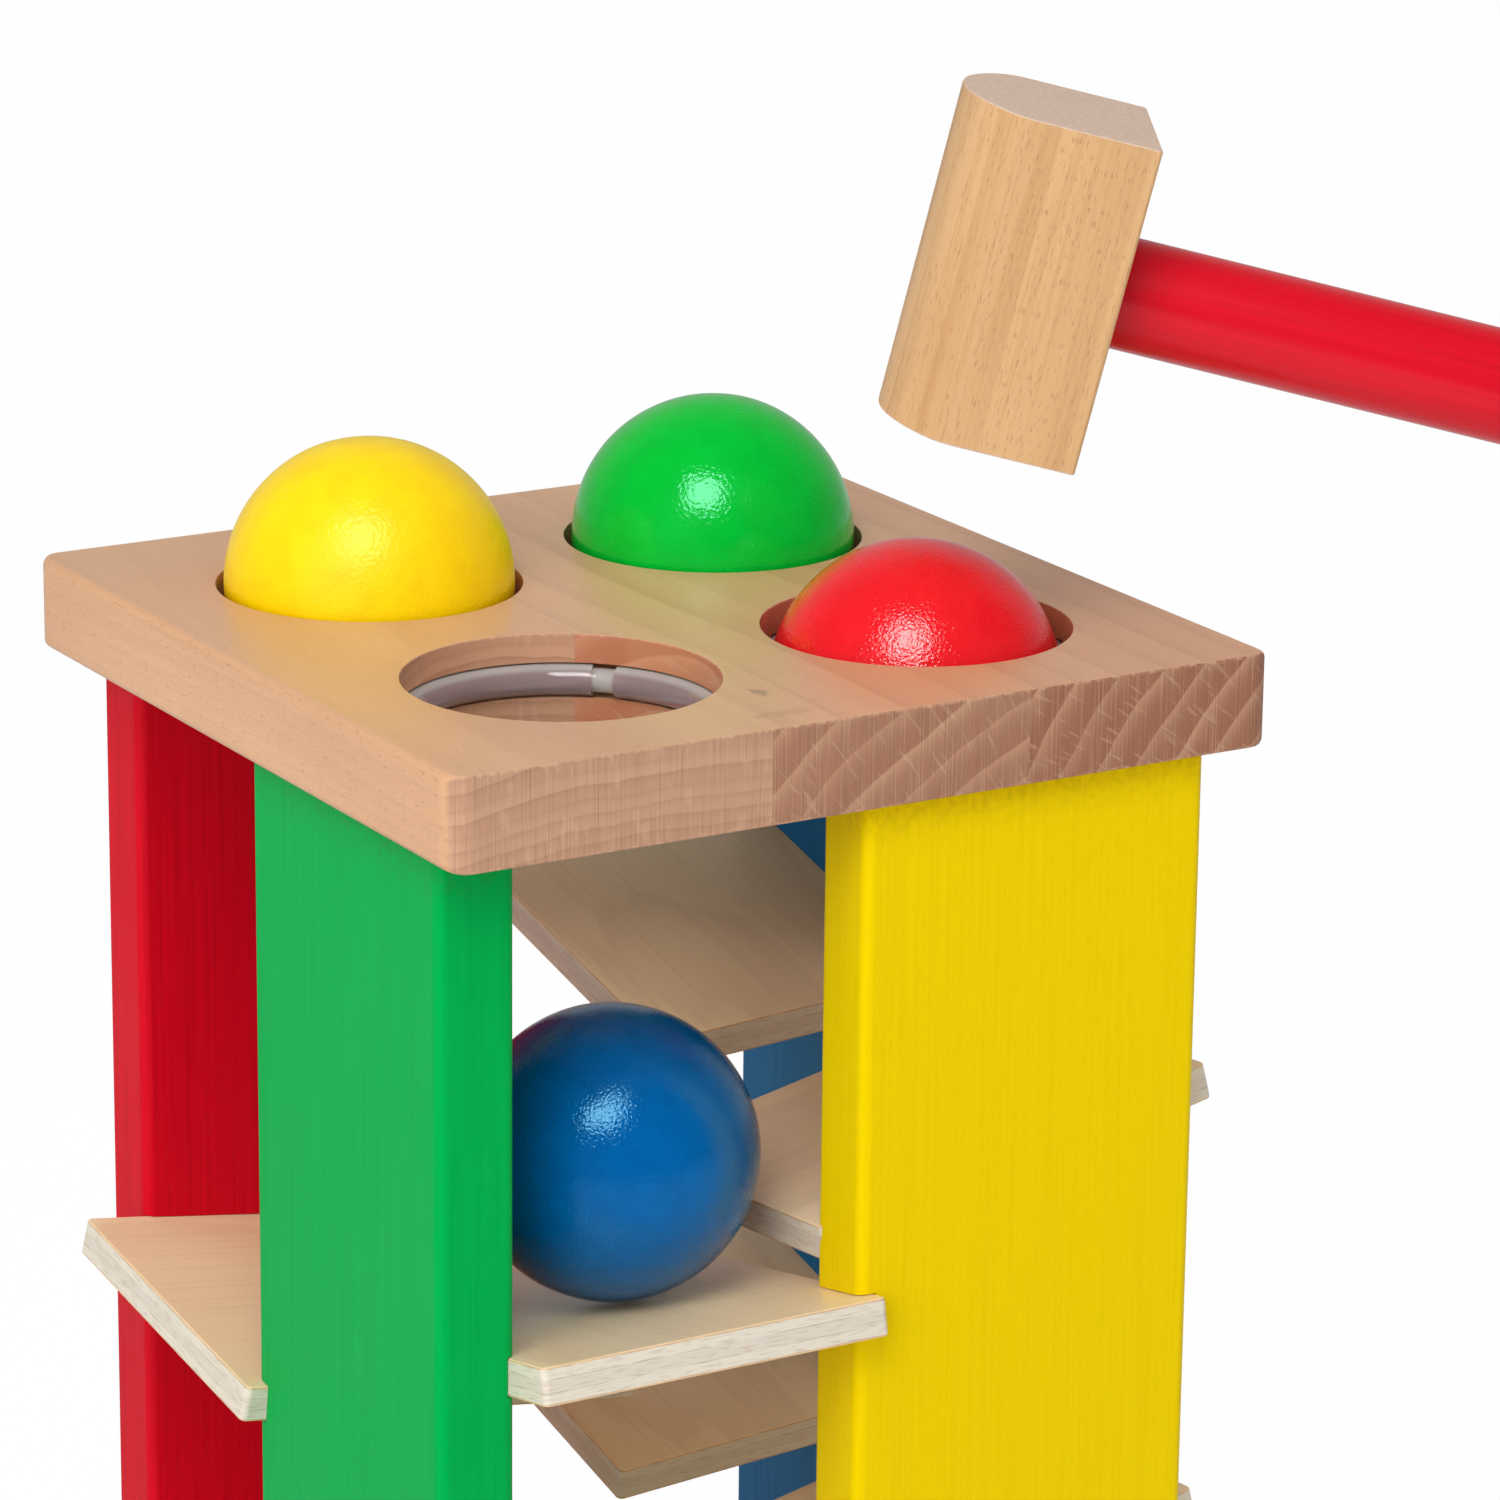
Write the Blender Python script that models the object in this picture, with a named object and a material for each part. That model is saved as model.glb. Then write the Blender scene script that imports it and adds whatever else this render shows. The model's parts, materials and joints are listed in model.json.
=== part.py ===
"""Pounding ball tower.

A beech top plate with four ball holes stands on four flat posts and a base plate. A clear ring in
each hole grips a ball until the mallet drives it through. The ball then rolls down plywood ramps,
each a quarter turn below the one before.

Units are metres, +Z is up, and the origin is the centre of the base plate's underside. The four
corners of the tower are alike: each is modelled as the front left one, under an empty that turns it
into place.
"""
import math

import bmesh
import bpy
from mathutils import Matrix, Vector

# Gap between neighbours that touch
CONTACT_GAP = 0.0003

# Balls, and the clear rings that hold them in their holes
BALL_DIAMETER = 0.050
BALL_SIDE_CLEARANCE = 0.0006
HOLE_CLEARANCE = 0.0025
RING_SECTION = 0.0054
GROOVE_ROOM = 0.0009
GROOVE_WEB = 0.0054
RED_BALL_DRIVEN = 0.0107
BLUE_BALL_UPHILL = 0.0034
BLUE_BALL_INWARD = 0.0078

# Plates
TOP_THICKNESS = 0.016
BASE_THICKNESS = 0.016
PLATE_CORNER_RADIUS = 0.004
PLATE_RIM_RADIUS = 0.0016

# Posts
POST_THICKNESS = 0.0142
POST_SIDE_INSET = 0.0032
POST_END_INSET = 0.0108
POST_MID_GAP = 0.0003
POST_EDGE_RADIUS = 0.0015

# Ramps, from the top one down
RAMP_COUNT = 8
RAMP_THICKNESS = 0.0065
RAMP_OVERHANG = 0.0037
RAMP_NOTCH = 0.0031
RAMP_DADO = 0.0015
RAMP_CORNER_RADIUS = 0.002
FIRST_RAMP_DROP = 0.0527
RAMP_STEP = 0.0196
LAST_RAMP_HEIGHT = 0.0281
FIRST_RAMP_TRIM = 0.0075

# Slope of each corner's ramps in degrees: down the ball's way, and down towards the tower's middle
RAMP_FALL = {"front_left": 11.4, "back_left": 8.6, "back_right": 13.5, "front_right": 11.3}
RAMP_LEAN = {"front_left": 0.0, "back_left": 8.2, "back_right": 3.6, "front_right": 6.2}

# Dowels between posts and top plate, and screws through the base plate
DOWEL_DIAMETER = 0.008
DOWEL_IN_PLATE = 0.010
DOWEL_IN_POST = 0.012
DOWEL_CHAMFER = 0.0008
FASTENER_SPACING = 0.040
SCREW_HEAD_DIAMETER = 0.008
SCREW_SHANK_DIAMETER = 0.004
SCREW_LENGTH = 0.040
SCREW_TIP = 0.004
SCREW_SUNK = 0.0005

# Mallet, and where it hovers over the front right hole; angles in degrees
HEAD_LENGTH = 0.0554
HEAD_WIDTH = 0.038
HEAD_STRAIGHT = 0.023
HEAD_CROWN = 0.0095
HANDLE_DIAMETER = 0.0188
HANDLE_LENGTH = 0.150
HANDLE_SOCKET = 0.020
HANDLE_END_RADIUS = 0.004
GRIP_DISTANCE = 0.120
MALLET_RIGHT = 0.0116
MALLET_FORWARD = 0.0102
MALLET_HEIGHT = 0.0619
MALLET_YAW = -29.8
MALLET_DROOP = 13.6

# Facets of round shapes
HOLE_STEPS = 40
RING_STEPS = 40
RING_SIDES = 8
BALL_STEPS = 24
PEG_STEPS = 12
HANDLE_STEPS = 24
HEAD_ARC_STEPS = 14
CORNER_STEPS = 3

# Plan, worked out from the ball outwards
BALL_RADIUS = BALL_DIAMETER / 2
HOLE_RADIUS = BALL_RADIUS + HOLE_CLEARANCE / 2
RING_RADIUS = RING_SECTION / 2
GROOVE_RADIUS = BALL_RADIUS + RING_SECTION + GROOVE_ROOM
GROOVE_HEIGHT = RING_SECTION + 2 * CONTACT_GAP
HOLE_OFFSET = GROOVE_RADIUS + GROOVE_WEB / 2
POST_INNER = HOLE_OFFSET + BALL_RADIUS + BALL_SIDE_CLEARANCE
POST_MIDDLE = POST_INNER + POST_THICKNESS / 2
POST_OUTER = POST_INNER + POST_THICKNESS
PLATE_HALF = POST_OUTER + POST_SIDE_INSET
POST_FAR_END = PLATE_HALF - POST_END_INSET
POST_CENTRE = (POST_MID_GAP + POST_FAR_END) / 2
RAMP_INNER_EDGE = POST_MID_GAP + RAMP_NOTCH
RAMP_OUTER_EDGE = POST_INNER + RAMP_DADO
RAMP_HIGH_END = POST_OUTER + RAMP_OVERHANG
FASTENER_PLACES = (POST_CENTRE - FASTENER_SPACING / 2, POST_CENTRE + FASTENER_SPACING / 2)

# Heights, worked out from the base plate upwards
POST_FOOT = BASE_THICKNESS
LAST_RAMP_Z = POST_FOOT + LAST_RAMP_HEIGHT
FIRST_RAMP_Z = LAST_RAMP_Z + (RAMP_COUNT - 1) * RAMP_STEP
POST_HEAD = FIRST_RAMP_Z + FIRST_RAMP_DROP
TOP_Z = POST_HEAD + TOP_THICKNESS
RING_Z = POST_HEAD + TOP_THICKNESS / 2

# Corners in the order of quarter turns, and the order in which a ball visits them
CORNERS = ("front_left", "back_left", "back_right", "front_right")
DESCENT = ("back_right", "front_right", "front_left", "back_left")
POST_COLOURS = {"front_left": "green", "back_left": "red", "back_right": "blue", "front_right": "yellow"}

COLOURS = {
    "green": (0.02, 0.36, 0.09),
    "red": (0.55, 0.005, 0.012),
    "blue": (0.012, 0.09, 0.32),
    "yellow": (0.85, 0.55, 0.01),
}


def clear_scene():
    for old in list(bpy.data.objects):
        bpy.data.objects.remove(old, do_unlink=True)


def make_material(name, colour, roughness, metallic=0.0):
    material = bpy.data.materials.new(name)
    material.use_nodes = True
    shader = material.node_tree.nodes["Principled BSDF"]
    shader.inputs["Base Color"].default_value = (*colour, 1.0)
    shader.inputs["Roughness"].default_value = roughness
    shader.inputs["Metallic"].default_value = metallic
    return material


def finished_mesh(bm, name):
    """Turn a bmesh into a mesh that is smooth apart from its sharp edges."""
    bmesh.ops.recalc_face_normals(bm, faces=bm.faces)
    mesh = bpy.data.meshes.new(name)
    bm.to_mesh(mesh)
    bm.free()
    mesh.shade_smooth()
    mesh.set_sharp_from_angle(angle=math.radians(30))
    return mesh


def place(name, mesh, parent=None, matrix=None, material=None):
    """Add an object; its matrix is in its parent's frame."""
    piece = bpy.data.objects.new(name, mesh)
    bpy.context.scene.collection.objects.link(piece)
    piece.parent = parent
    piece.matrix_local = matrix or Matrix.Identity(4)
    if material and not mesh.materials:
        mesh.materials.append(material)
    return piece


def place_cutter(name, mesh, parent=None, matrix=None):
    cutter = place(name, mesh, parent, matrix)
    cutter.hide_render = True
    cutter.display_type = "WIRE"
    return cutter


def cut(piece, cutters):
    for cutter in cutters:
        modifier = piece.modifiers.new(cutter.name, "BOOLEAN")
        modifier.operation = "DIFFERENCE"
        modifier.solver = "EXACT"
        modifier.object = cutter


def board_mesh(name, lower, upper, axis, corner_radius, rim_radius=None):
    """Block between two corners, its edges along one axis rounded, and its rims too if asked."""
    bm = bmesh.new()
    bmesh.ops.create_cube(bm, size=1.0)
    bmesh.ops.scale(bm, vec=upper - lower, verts=bm.verts)
    bmesh.ops.translate(bm, vec=(upper + lower) / 2, verts=bm.verts)
    along = [edge for edge in bm.edges if len({round(v.co[axis], 6) for v in edge.verts}) == 2]
    bmesh.ops.bevel(bm, geom=along, offset=corner_radius, segments=CORNER_STEPS, profile=0.5,
                    affect="EDGES", material=-1)
    if rim_radius:
        rims = [edge for edge in bm.edges if len({round(v.co[axis], 6) for v in edge.verts}) == 1]
        bmesh.ops.bevel(bm, geom=rims, offset=rim_radius, segments=2, profile=0.5,
                        affect="EDGES", material=-1)
    return finished_mesh(bm, name)


def turned_mesh(name, profile, steps, closed=False):
    """Turn a profile of (radius, height) points about Z."""
    bm = bmesh.new()
    verts = [bm.verts.new((radius, 0.0, height)) for radius, height in profile]
    pairs = list(zip(verts, verts[1:]))
    if closed:
        pairs.append((verts[-1], verts[0]))
    edges = [bm.edges.new(pair) for pair in pairs]
    bmesh.ops.spin(bm, geom=verts + edges, axis=(0, 0, 1), cent=(0, 0, 0),
                   steps=steps, angle=2 * math.pi, use_merge=True)
    bmesh.ops.remove_doubles(bm, verts=bm.verts, dist=0.000001)
    return finished_mesh(bm, name)


def make_corners():
    """One empty for each corner, a quarter turn apart."""
    corners = {}
    for turn, corner in enumerate(CORNERS):
        turned = Matrix.Rotation(-turn * math.pi / 2, 4, "Z")
        corners[corner] = place("corner_" + corner, None, matrix=turned)
    return corners


def ramp_frame(index):
    """A ramp's frame in its corner: origin mid-board on the running face, +Y down the ball's way."""
    corner = DESCENT[index % len(DESCENT)]
    middle = Vector((
        (RAMP_INNER_EDGE - RAMP_OUTER_EDGE) / 2,
        -RAMP_HIGH_END / 2,
        FIRST_RAMP_Z - index * RAMP_STEP,
    ))
    lean = Matrix.Rotation(math.radians(RAMP_LEAN[corner]), 4, "Y")
    fall = Matrix.Rotation(-math.radians(RAMP_FALL[corner]), 4, "X")
    return Matrix.Translation(middle) @ lean @ fall


def ramp_mesh(name, index, grow=0.0):
    """A ramp board, or with grow the slot that it sits in."""
    frame = ramp_frame(index)
    corner = DESCENT[index % len(DESCENT)]
    trim = FIRST_RAMP_TRIM if index == 0 else 0.0
    across = 1 / math.cos(math.radians(RAMP_LEAN[corner]))
    along = 1 / math.cos(math.radians(RAMP_FALL[corner]))
    lower = Vector((
        (-RAMP_OUTER_EDGE - frame.translation.x) * across - grow,
        (-RAMP_HIGH_END - frame.translation.y) * along - grow,
        -RAMP_THICKNESS - grow,
    ))
    upper = Vector((
        (RAMP_INNER_EDGE - trim - frame.translation.x) * across + grow,
        -frame.translation.y * along + grow,
        grow,
    ))
    return board_mesh(name, lower, upper, 2, RAMP_CORNER_RADIUS + grow)


def make_ramps(corners, material):
    """Eight ramps, and a slot cutter for each."""
    slots = []
    for index in range(RAMP_COUNT):
        corner = corners[DESCENT[index % len(DESCENT)]]
        name = f"ramp_{index + 1}"
        place(name, ramp_mesh(name, index), corner, ramp_frame(index), material)
        slot = name + "_slot"
        slots.append(place_cutter(slot, ramp_mesh(slot, index, CONTACT_GAP), corner, ramp_frame(index)))
    return slots


def screw_profile(grow=0.0):
    """Half outline of a countersunk screw, head down, from its head to its tip."""
    head = SCREW_HEAD_DIAMETER / 2 + grow
    shank = SCREW_SHANK_DIAMETER / 2 + grow
    mouth = -SCREW_SUNK - grow if grow else 0.0
    land = SCREW_SUNK
    return [
        (0.0, mouth),
        (head, mouth),
        (head, land),
        (shank, land + head - shank),
        (shank, SCREW_LENGTH - SCREW_TIP),
        (0.0, SCREW_LENGTH + grow),
    ]


def dowel_profile():
    """Half outline of a dowel with chamfered ends; height 0 is where post and plate meet."""
    radius = DOWEL_DIAMETER / 2
    low = -DOWEL_IN_POST
    high = DOWEL_IN_PLATE
    return [
        (0.0, low),
        (radius - DOWEL_CHAMFER, low),
        (radius, low + DOWEL_CHAMFER),
        (radius, high - DOWEL_CHAMFER),
        (radius - DOWEL_CHAMFER, high),
        (0.0, high),
    ]


def make_fasteners(corners, wood, steel):
    """Two dowels above and two screws below each post, with the holes they sit in."""
    radius = DOWEL_DIAMETER / 2 + CONTACT_GAP
    low = -DOWEL_IN_POST - CONTACT_GAP
    high = DOWEL_IN_PLATE + CONTACT_GAP
    dowel = turned_mesh("dowel", dowel_profile(), PEG_STEPS)
    dowel_hole = turned_mesh("dowel_hole", [(0.0, low), (radius, low), (radius, high), (0.0, high)], PEG_STEPS)
    screw = turned_mesh("base_screw", screw_profile(), PEG_STEPS)
    screw_hole = turned_mesh("base_screw_hole", screw_profile(CONTACT_GAP), PEG_STEPS)
    dowel_holes = []
    screw_holes = []
    for corner in CORNERS:
        for along in FASTENER_PLACES:
            number = len(dowel_holes) + 1
            above = Matrix.Translation((-POST_MIDDLE, -along, POST_HEAD))
            below = Matrix.Translation((-POST_MIDDLE, -along, SCREW_SUNK))
            place(f"dowel_{number}", dowel, corners[corner], above, wood)
            place(f"base_screw_{number}", screw, corners[corner], below, steel)
            dowel_holes.append(place_cutter(f"dowel_hole_{number}", dowel_hole, corners[corner], above))
            screw_holes.append(place_cutter(f"base_screw_hole_{number}", screw_hole, corners[corner], below))
    return dowel_holes, screw_holes


def make_posts(corners, slots, dowel_holes, screw_holes):
    """A post slotted for its own corner's ramps and for the edges of the next corner's."""
    lower = Vector((-POST_OUTER, -POST_FAR_END, POST_FOOT + CONTACT_GAP))
    upper = Vector((-POST_INNER, -POST_MID_GAP, POST_HEAD - CONTACT_GAP))
    for turn, corner in enumerate(CORNERS):
        colour = POST_COLOURS[corner]
        paint = make_material(colour + "_post_paint", COLOURS[colour], 0.4)
        mesh = board_mesh("post_" + colour, lower, upper, 2, POST_EDGE_RADIUS)
        post = place("post_" + colour, mesh, corners[corner], material=paint)
        following = CORNERS[(turn + 1) % len(CORNERS)]
        near = [slots[index] for index in range(RAMP_COUNT)
                if DESCENT[index % len(DESCENT)] in (corner, following)]
        own = slice(2 * turn, 2 * turn + 2)
        cut(post, near + dowel_holes[own] + screw_holes[own])


def hole_profile():
    """Half outline of a ball hole with its ring groove, past both faces of the plate."""
    low = POST_HEAD - PLATE_RIM_RADIUS
    high = TOP_Z + PLATE_RIM_RADIUS
    groove_low = RING_Z - GROOVE_HEIGHT / 2
    groove_high = RING_Z + GROOVE_HEIGHT / 2
    return [
        (0.0, low),
        (HOLE_RADIUS, low),
        (HOLE_RADIUS, groove_low),
        (GROOVE_RADIUS, groove_low),
        (GROOVE_RADIUS, groove_high),
        (HOLE_RADIUS, groove_high),
        (HOLE_RADIUS, high),
        (0.0, high),
    ]


def make_plates(corners, dowel_holes, screw_holes, material):
    corner = Vector((PLATE_HALF, PLATE_HALF, 0.0))
    base = board_mesh("base_plate", -corner, corner + Vector((0, 0, BASE_THICKNESS)), 2,
                      PLATE_CORNER_RADIUS, PLATE_RIM_RADIUS)
    cut(place("base_plate", base, material=material), screw_holes)
    top = board_mesh("top_plate", -corner + Vector((0, 0, POST_HEAD)), corner + Vector((0, 0, TOP_Z)), 2,
                     PLATE_CORNER_RADIUS, PLATE_RIM_RADIUS)
    hole = turned_mesh("ball_hole", hole_profile(), HOLE_STEPS)
    centre = Matrix.Translation((-HOLE_OFFSET, -HOLE_OFFSET, 0))
    ball_holes = [place_cutter("ball_hole_" + name, hole, corners[name], centre) for name in CORNERS]
    cut(place("top_plate", top, material=material), ball_holes + dowel_holes)


def ring_spread(ball_above_ring):
    """Radius of a ring's centre line, pressed open by a ball at this height above the ring."""
    reach = BALL_RADIUS + CONTACT_GAP + RING_RADIUS
    return math.sqrt(reach ** 2 - ball_above_ring ** 2)


def make_rings(corners, material):
    """Clear rings, at rest but for the one that the half-driven ball spreads."""
    waiting = TOP_Z - RING_Z
    for corner in CORNERS:
        ball_above_ring = waiting - RED_BALL_DRIVEN if corner == "front_right" else waiting
        spread = ring_spread(ball_above_ring)
        angles = [2 * math.pi * side / RING_SIDES for side in range(RING_SIDES)]
        section = [(spread + RING_RADIUS * math.cos(a), RING_RADIUS * math.sin(a)) for a in angles]
        mesh = turned_mesh("ring_" + corner, section, RING_STEPS, closed=True)
        middle = Matrix.Translation((-HOLE_OFFSET, -HOLE_OFFSET, RING_Z))
        place("ring_" + corner, mesh, corners[corner], middle, material)


def ball_mesh(name):
    bm = bmesh.new()
    bmesh.ops.create_uvsphere(bm, u_segments=BALL_STEPS, v_segments=BALL_STEPS // 2, radius=BALL_RADIUS)
    return finished_mesh(bm, name)


def blue_ball_place():
    """The ball that has dropped through rests on the second ramp below its hole."""
    frame = ramp_frame(DESCENT.index("front_left"))
    normal = frame.col[2].to_3d()
    x = -HOLE_OFFSET + BLUE_BALL_INWARD
    y = -HOLE_OFFSET - BLUE_BALL_UPHILL
    slope = normal.x * (x - frame.translation.x) + normal.y * (y - frame.translation.y)
    height = frame.translation.z - slope / normal.z
    return Vector((x, y, height + (BALL_RADIUS + CONTACT_GAP) / normal.z))


def make_balls():
    places = {
        "yellow": Vector((-HOLE_OFFSET, HOLE_OFFSET, TOP_Z)),
        "green": Vector((HOLE_OFFSET, HOLE_OFFSET, TOP_Z)),
        "red": Vector((HOLE_OFFSET, -HOLE_OFFSET, TOP_Z - RED_BALL_DRIVEN)),
        "blue": blue_ball_place(),
    }
    for colour, middle in places.items():
        paint = make_material(colour + "_ball_paint", COLOURS[colour], 0.25)
        name = "ball_" + colour
        place(name, ball_mesh(name), matrix=Matrix.Translation(middle), material=paint)


def mallet_grip():
    """The mallet's frame: origin in the grip, +X towards the handle's end, +Z up the head."""
    head = Vector((HOLE_OFFSET + MALLET_RIGHT, -HOLE_OFFSET - MALLET_FORWARD, TOP_Z + MALLET_HEIGHT))
    yaw = Matrix.Rotation(math.radians(MALLET_YAW), 4, "Z")
    droop = Matrix.Rotation(math.radians(MALLET_DROOP), 4, "Y")
    turn = yaw @ droop
    head_depth = HEAD_STRAIGHT + HEAD_CROWN
    grip = head + turn.to_3x3() @ Vector((GRIP_DISTANCE + head_depth / 2, 0, 0))
    return Matrix.Translation(grip) @ turn


def head_mesh():
    """The head is a bar with a flat side where the handle enters and a crowned side behind."""
    half = HEAD_WIDTH / 2
    crown_radius = (half ** 2 + HEAD_CROWN ** 2) / (2 * HEAD_CROWN)
    crown_centre = -GRIP_DISTANCE - HEAD_STRAIGHT - HEAD_CROWN + crown_radius
    crown_angle = math.asin(half / crown_radius)
    outline = [(-GRIP_DISTANCE, -half), (-GRIP_DISTANCE, half)]
    for step in range(HEAD_ARC_STEPS + 1):
        angle = crown_angle * (1 - 2 * step / HEAD_ARC_STEPS)
        outline.append((crown_centre - crown_radius * math.cos(angle), crown_radius * math.sin(angle)))
    bm = bmesh.new()
    face = bm.faces.new([bm.verts.new((x, y, -HEAD_LENGTH / 2)) for x, y in outline])
    raised = bmesh.ops.extrude_face_region(bm, geom=[face])["geom"]
    top = [item for item in raised if isinstance(item, bmesh.types.BMVert)]
    bmesh.ops.translate(bm, vec=(0, 0, HEAD_LENGTH), verts=top)
    return finished_mesh(bm, "mallet_head")


def make_mallet(wood):
    grip = place("mallet_grip", None, matrix=mallet_grip())
    along = Matrix.Rotation(math.pi / 2, 4, "Y")
    radius = HANDLE_DIAMETER / 2
    inner_end = -GRIP_DISTANCE - HANDLE_SOCKET
    outer_end = -GRIP_DISTANCE + HANDLE_LENGTH
    rounding = [(radius - HANDLE_END_RADIUS * (1 - math.cos(a)), outer_end - HANDLE_END_RADIUS * (1 - math.sin(a)))
                for a in (0, math.pi / 6, math.pi / 3, math.pi / 2)]
    handle = [(0.0, inner_end), (radius, inner_end)] + rounding + [(0.0, outer_end)]
    socket_radius = radius + CONTACT_GAP
    socket_end = inner_end - CONTACT_GAP
    socket_mouth = -GRIP_DISTANCE + CONTACT_GAP
    socket = [(0.0, socket_end), (socket_radius, socket_end), (socket_radius, socket_mouth), (0.0, socket_mouth)]
    socket_cutter = place_cutter("mallet_socket", turned_mesh("mallet_socket", socket, HANDLE_STEPS), grip, along)
    cut(place("mallet_head", head_mesh(), grip, material=wood), [socket_cutter])
    paint = make_material("mallet_handle_paint", COLOURS["red"], 0.2)
    place("mallet_handle", turned_mesh("mallet_handle", handle, HANDLE_STEPS), grip, along, paint)


def build():
    clear_scene()
    beech = make_material("beech", (0.68, 0.42, 0.26), 0.35)
    plywood = make_material("plywood", (0.62, 0.42, 0.24), 0.55)
    dowel_wood = make_material("dowel_wood", (0.72, 0.55, 0.36), 0.6)
    mallet_wood = make_material("mallet_wood", (0.60, 0.38, 0.16), 0.5)
    clear_plastic = make_material("clear_plastic", (0.85, 0.85, 0.82), 0.1)
    steel = make_material("zinc_steel", (0.55, 0.55, 0.53), 0.35, metallic=1.0)
    corners = make_corners()
    slots = make_ramps(corners, plywood)
    dowel_holes, screw_holes = make_fasteners(corners, dowel_wood, steel)
    make_posts(corners, slots, dowel_holes, screw_holes)
    make_plates(corners, dowel_holes, screw_holes, beech)
    make_rings(corners, clear_plastic)
    make_balls()
    make_mallet(mallet_wood)


build()
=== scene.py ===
# %% [markdown]
# A pounding ball tower, dressed for a portrait.
# The toy is a beech top plate with four ball holes on four painted posts, with plywood ramps winding
# down between the posts, four lacquered balls and a mallet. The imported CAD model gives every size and
# place. This lesson replaces the plain solids with finer pieces and gives each its finish.

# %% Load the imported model
import json
import math

import bmesh
import bpy
from mathutils import Matrix, Vector, noise


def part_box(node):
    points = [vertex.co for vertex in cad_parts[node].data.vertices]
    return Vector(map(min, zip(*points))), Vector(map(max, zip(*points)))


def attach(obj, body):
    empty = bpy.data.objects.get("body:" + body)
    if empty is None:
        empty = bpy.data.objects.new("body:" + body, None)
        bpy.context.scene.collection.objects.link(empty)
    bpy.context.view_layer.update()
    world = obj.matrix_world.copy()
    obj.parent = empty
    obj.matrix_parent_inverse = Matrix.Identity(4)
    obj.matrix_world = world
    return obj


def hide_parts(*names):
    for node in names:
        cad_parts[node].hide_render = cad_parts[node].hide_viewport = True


MM = 0.001
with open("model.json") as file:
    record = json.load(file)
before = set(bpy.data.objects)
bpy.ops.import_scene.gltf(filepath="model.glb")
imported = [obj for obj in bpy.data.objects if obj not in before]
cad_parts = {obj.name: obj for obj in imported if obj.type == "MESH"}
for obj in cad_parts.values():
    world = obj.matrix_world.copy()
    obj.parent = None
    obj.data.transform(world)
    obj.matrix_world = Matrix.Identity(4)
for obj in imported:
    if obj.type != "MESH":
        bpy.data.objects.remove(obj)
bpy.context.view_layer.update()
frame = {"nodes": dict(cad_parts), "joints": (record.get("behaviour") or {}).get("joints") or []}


def in_mm(size):
    """A size in millimetres, rounded for print."""
    return [round(v / MM, 1) for v in size]


# %% [markdown]
# The camera stands where the photographer stood: low, in front of the left corner, with a long lens,
# so that upright posts stay nearly parallel. A camera is placed by one matrix. Its columns are the
# directions of right, up and back, and the last one is where it stands.

# %% Camera
CAMERA_PLACE = Vector((-0.51476, -0.90581, 0.53185))
CAMERA_AZIMUTH = -30.649
CAMERA_ELEVATION = 16.459
CAMERA_ROLL = 0.632
LENS_MM = 152.75
SENSOR_MM = 36.0


def direction(azimuth, elevation):
    """Unit vector from the object towards a place at this azimuth and elevation, in degrees."""
    turn, rise = math.radians(azimuth), math.radians(elevation)
    return Vector((math.sin(turn) * math.cos(rise), -math.cos(turn) * math.cos(rise), math.sin(rise)))


def add_object(name, data):
    """A new object in the scene."""
    thing = bpy.data.objects.new(name, data)
    bpy.context.scene.collection.objects.link(thing)
    return thing


lens = bpy.data.cameras.new("camera")
lens.lens = LENS_MM
lens.sensor_width = SENSOR_MM
camera = add_object("camera", lens)
to_camera = direction(CAMERA_AZIMUTH, CAMERA_ELEVATION)
aim = (-to_camera).to_track_quat("-Z", "Y").to_matrix()
roll = Matrix.Rotation(math.radians(CAMERA_ROLL), 3, "Z")
camera.matrix_world = Matrix.Translation(CAMERA_PLACE) @ (aim @ roll).to_4x4()
bpy.context.scene.camera = camera
print("camera looks along", [round(v, 3) for v in -camera.matrix_world.col[2].xyz])

# %% [markdown]
# Every piece ends the same way: its normals face outwards, it is shaded smooth but for its sharp
# edges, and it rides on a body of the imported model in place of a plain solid. Timber has a direction,
# so a wooden piece also stores, at each vertex, its place in the plank that it was cut from, with Y
# along the grain. A tilted ramp then carries its own grain with it.

# %% Finishing a piece
SHARP_ANGLE = math.radians(38)
MERGE = 0.001 * MM
FLAT_WEIGHT = 100
dressed = {}


def to_mesh(name, bm):
    """Turn a bmesh into a mesh and let the bmesh go."""
    mesh = bpy.data.meshes.new(name)
    bm.to_mesh(mesh)
    bm.free()
    return mesh


def mark_timber(mesh, plank):
    """Store each vertex's place in the plank, a matrix whose Y axis runs along the grain."""
    to_plank = plank.inverted()
    places = mesh.attributes.new("plank_place", "FLOAT_VECTOR", "POINT")
    for vertex, place in zip(mesh.vertices, places.data):
        place.vector = to_plank @ vertex.co


def finish_piece(name, bm, body, slot, nodes, plank=None, even_flats=False):
    """Make an object of a bmesh, and let it ride on a body in place of its CAD nodes."""
    bmesh.ops.remove_doubles(bm, verts=bm.verts, dist=MERGE)
    bmesh.ops.recalc_face_normals(bm, faces=bm.faces)
    mesh = to_mesh(name, bm)
    mesh.shade_smooth()
    mesh.set_sharp_from_angle(angle=SHARP_ANGLE)
    if plank is not None:
        mark_timber(mesh, plank)
    piece = add_object(name, mesh)
    if even_flats:
        flats = piece.modifiers.new("even_flats", "WEIGHTED_NORMAL")
        flats.keep_sharp = True
        flats.weight = FLAT_WEIGHT
    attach(piece, body)
    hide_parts(*nodes)
    dressed.setdefault(slot, []).append(piece)
    print(name, "has", len(mesh.polygons), "faces")


# %% [markdown]
# The top plate is a glued beech board with four round holes. A hole in a sheet is easiest to get by
# bridging a circle to the square around it. One quarter is made so and mirrored twice, which keeps the
# faces tidy all round the holes. Solidify gives the thickness. Two cutting planes mark the band of
# wall that is pushed outwards into the groove where the clear ring sits.

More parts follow.
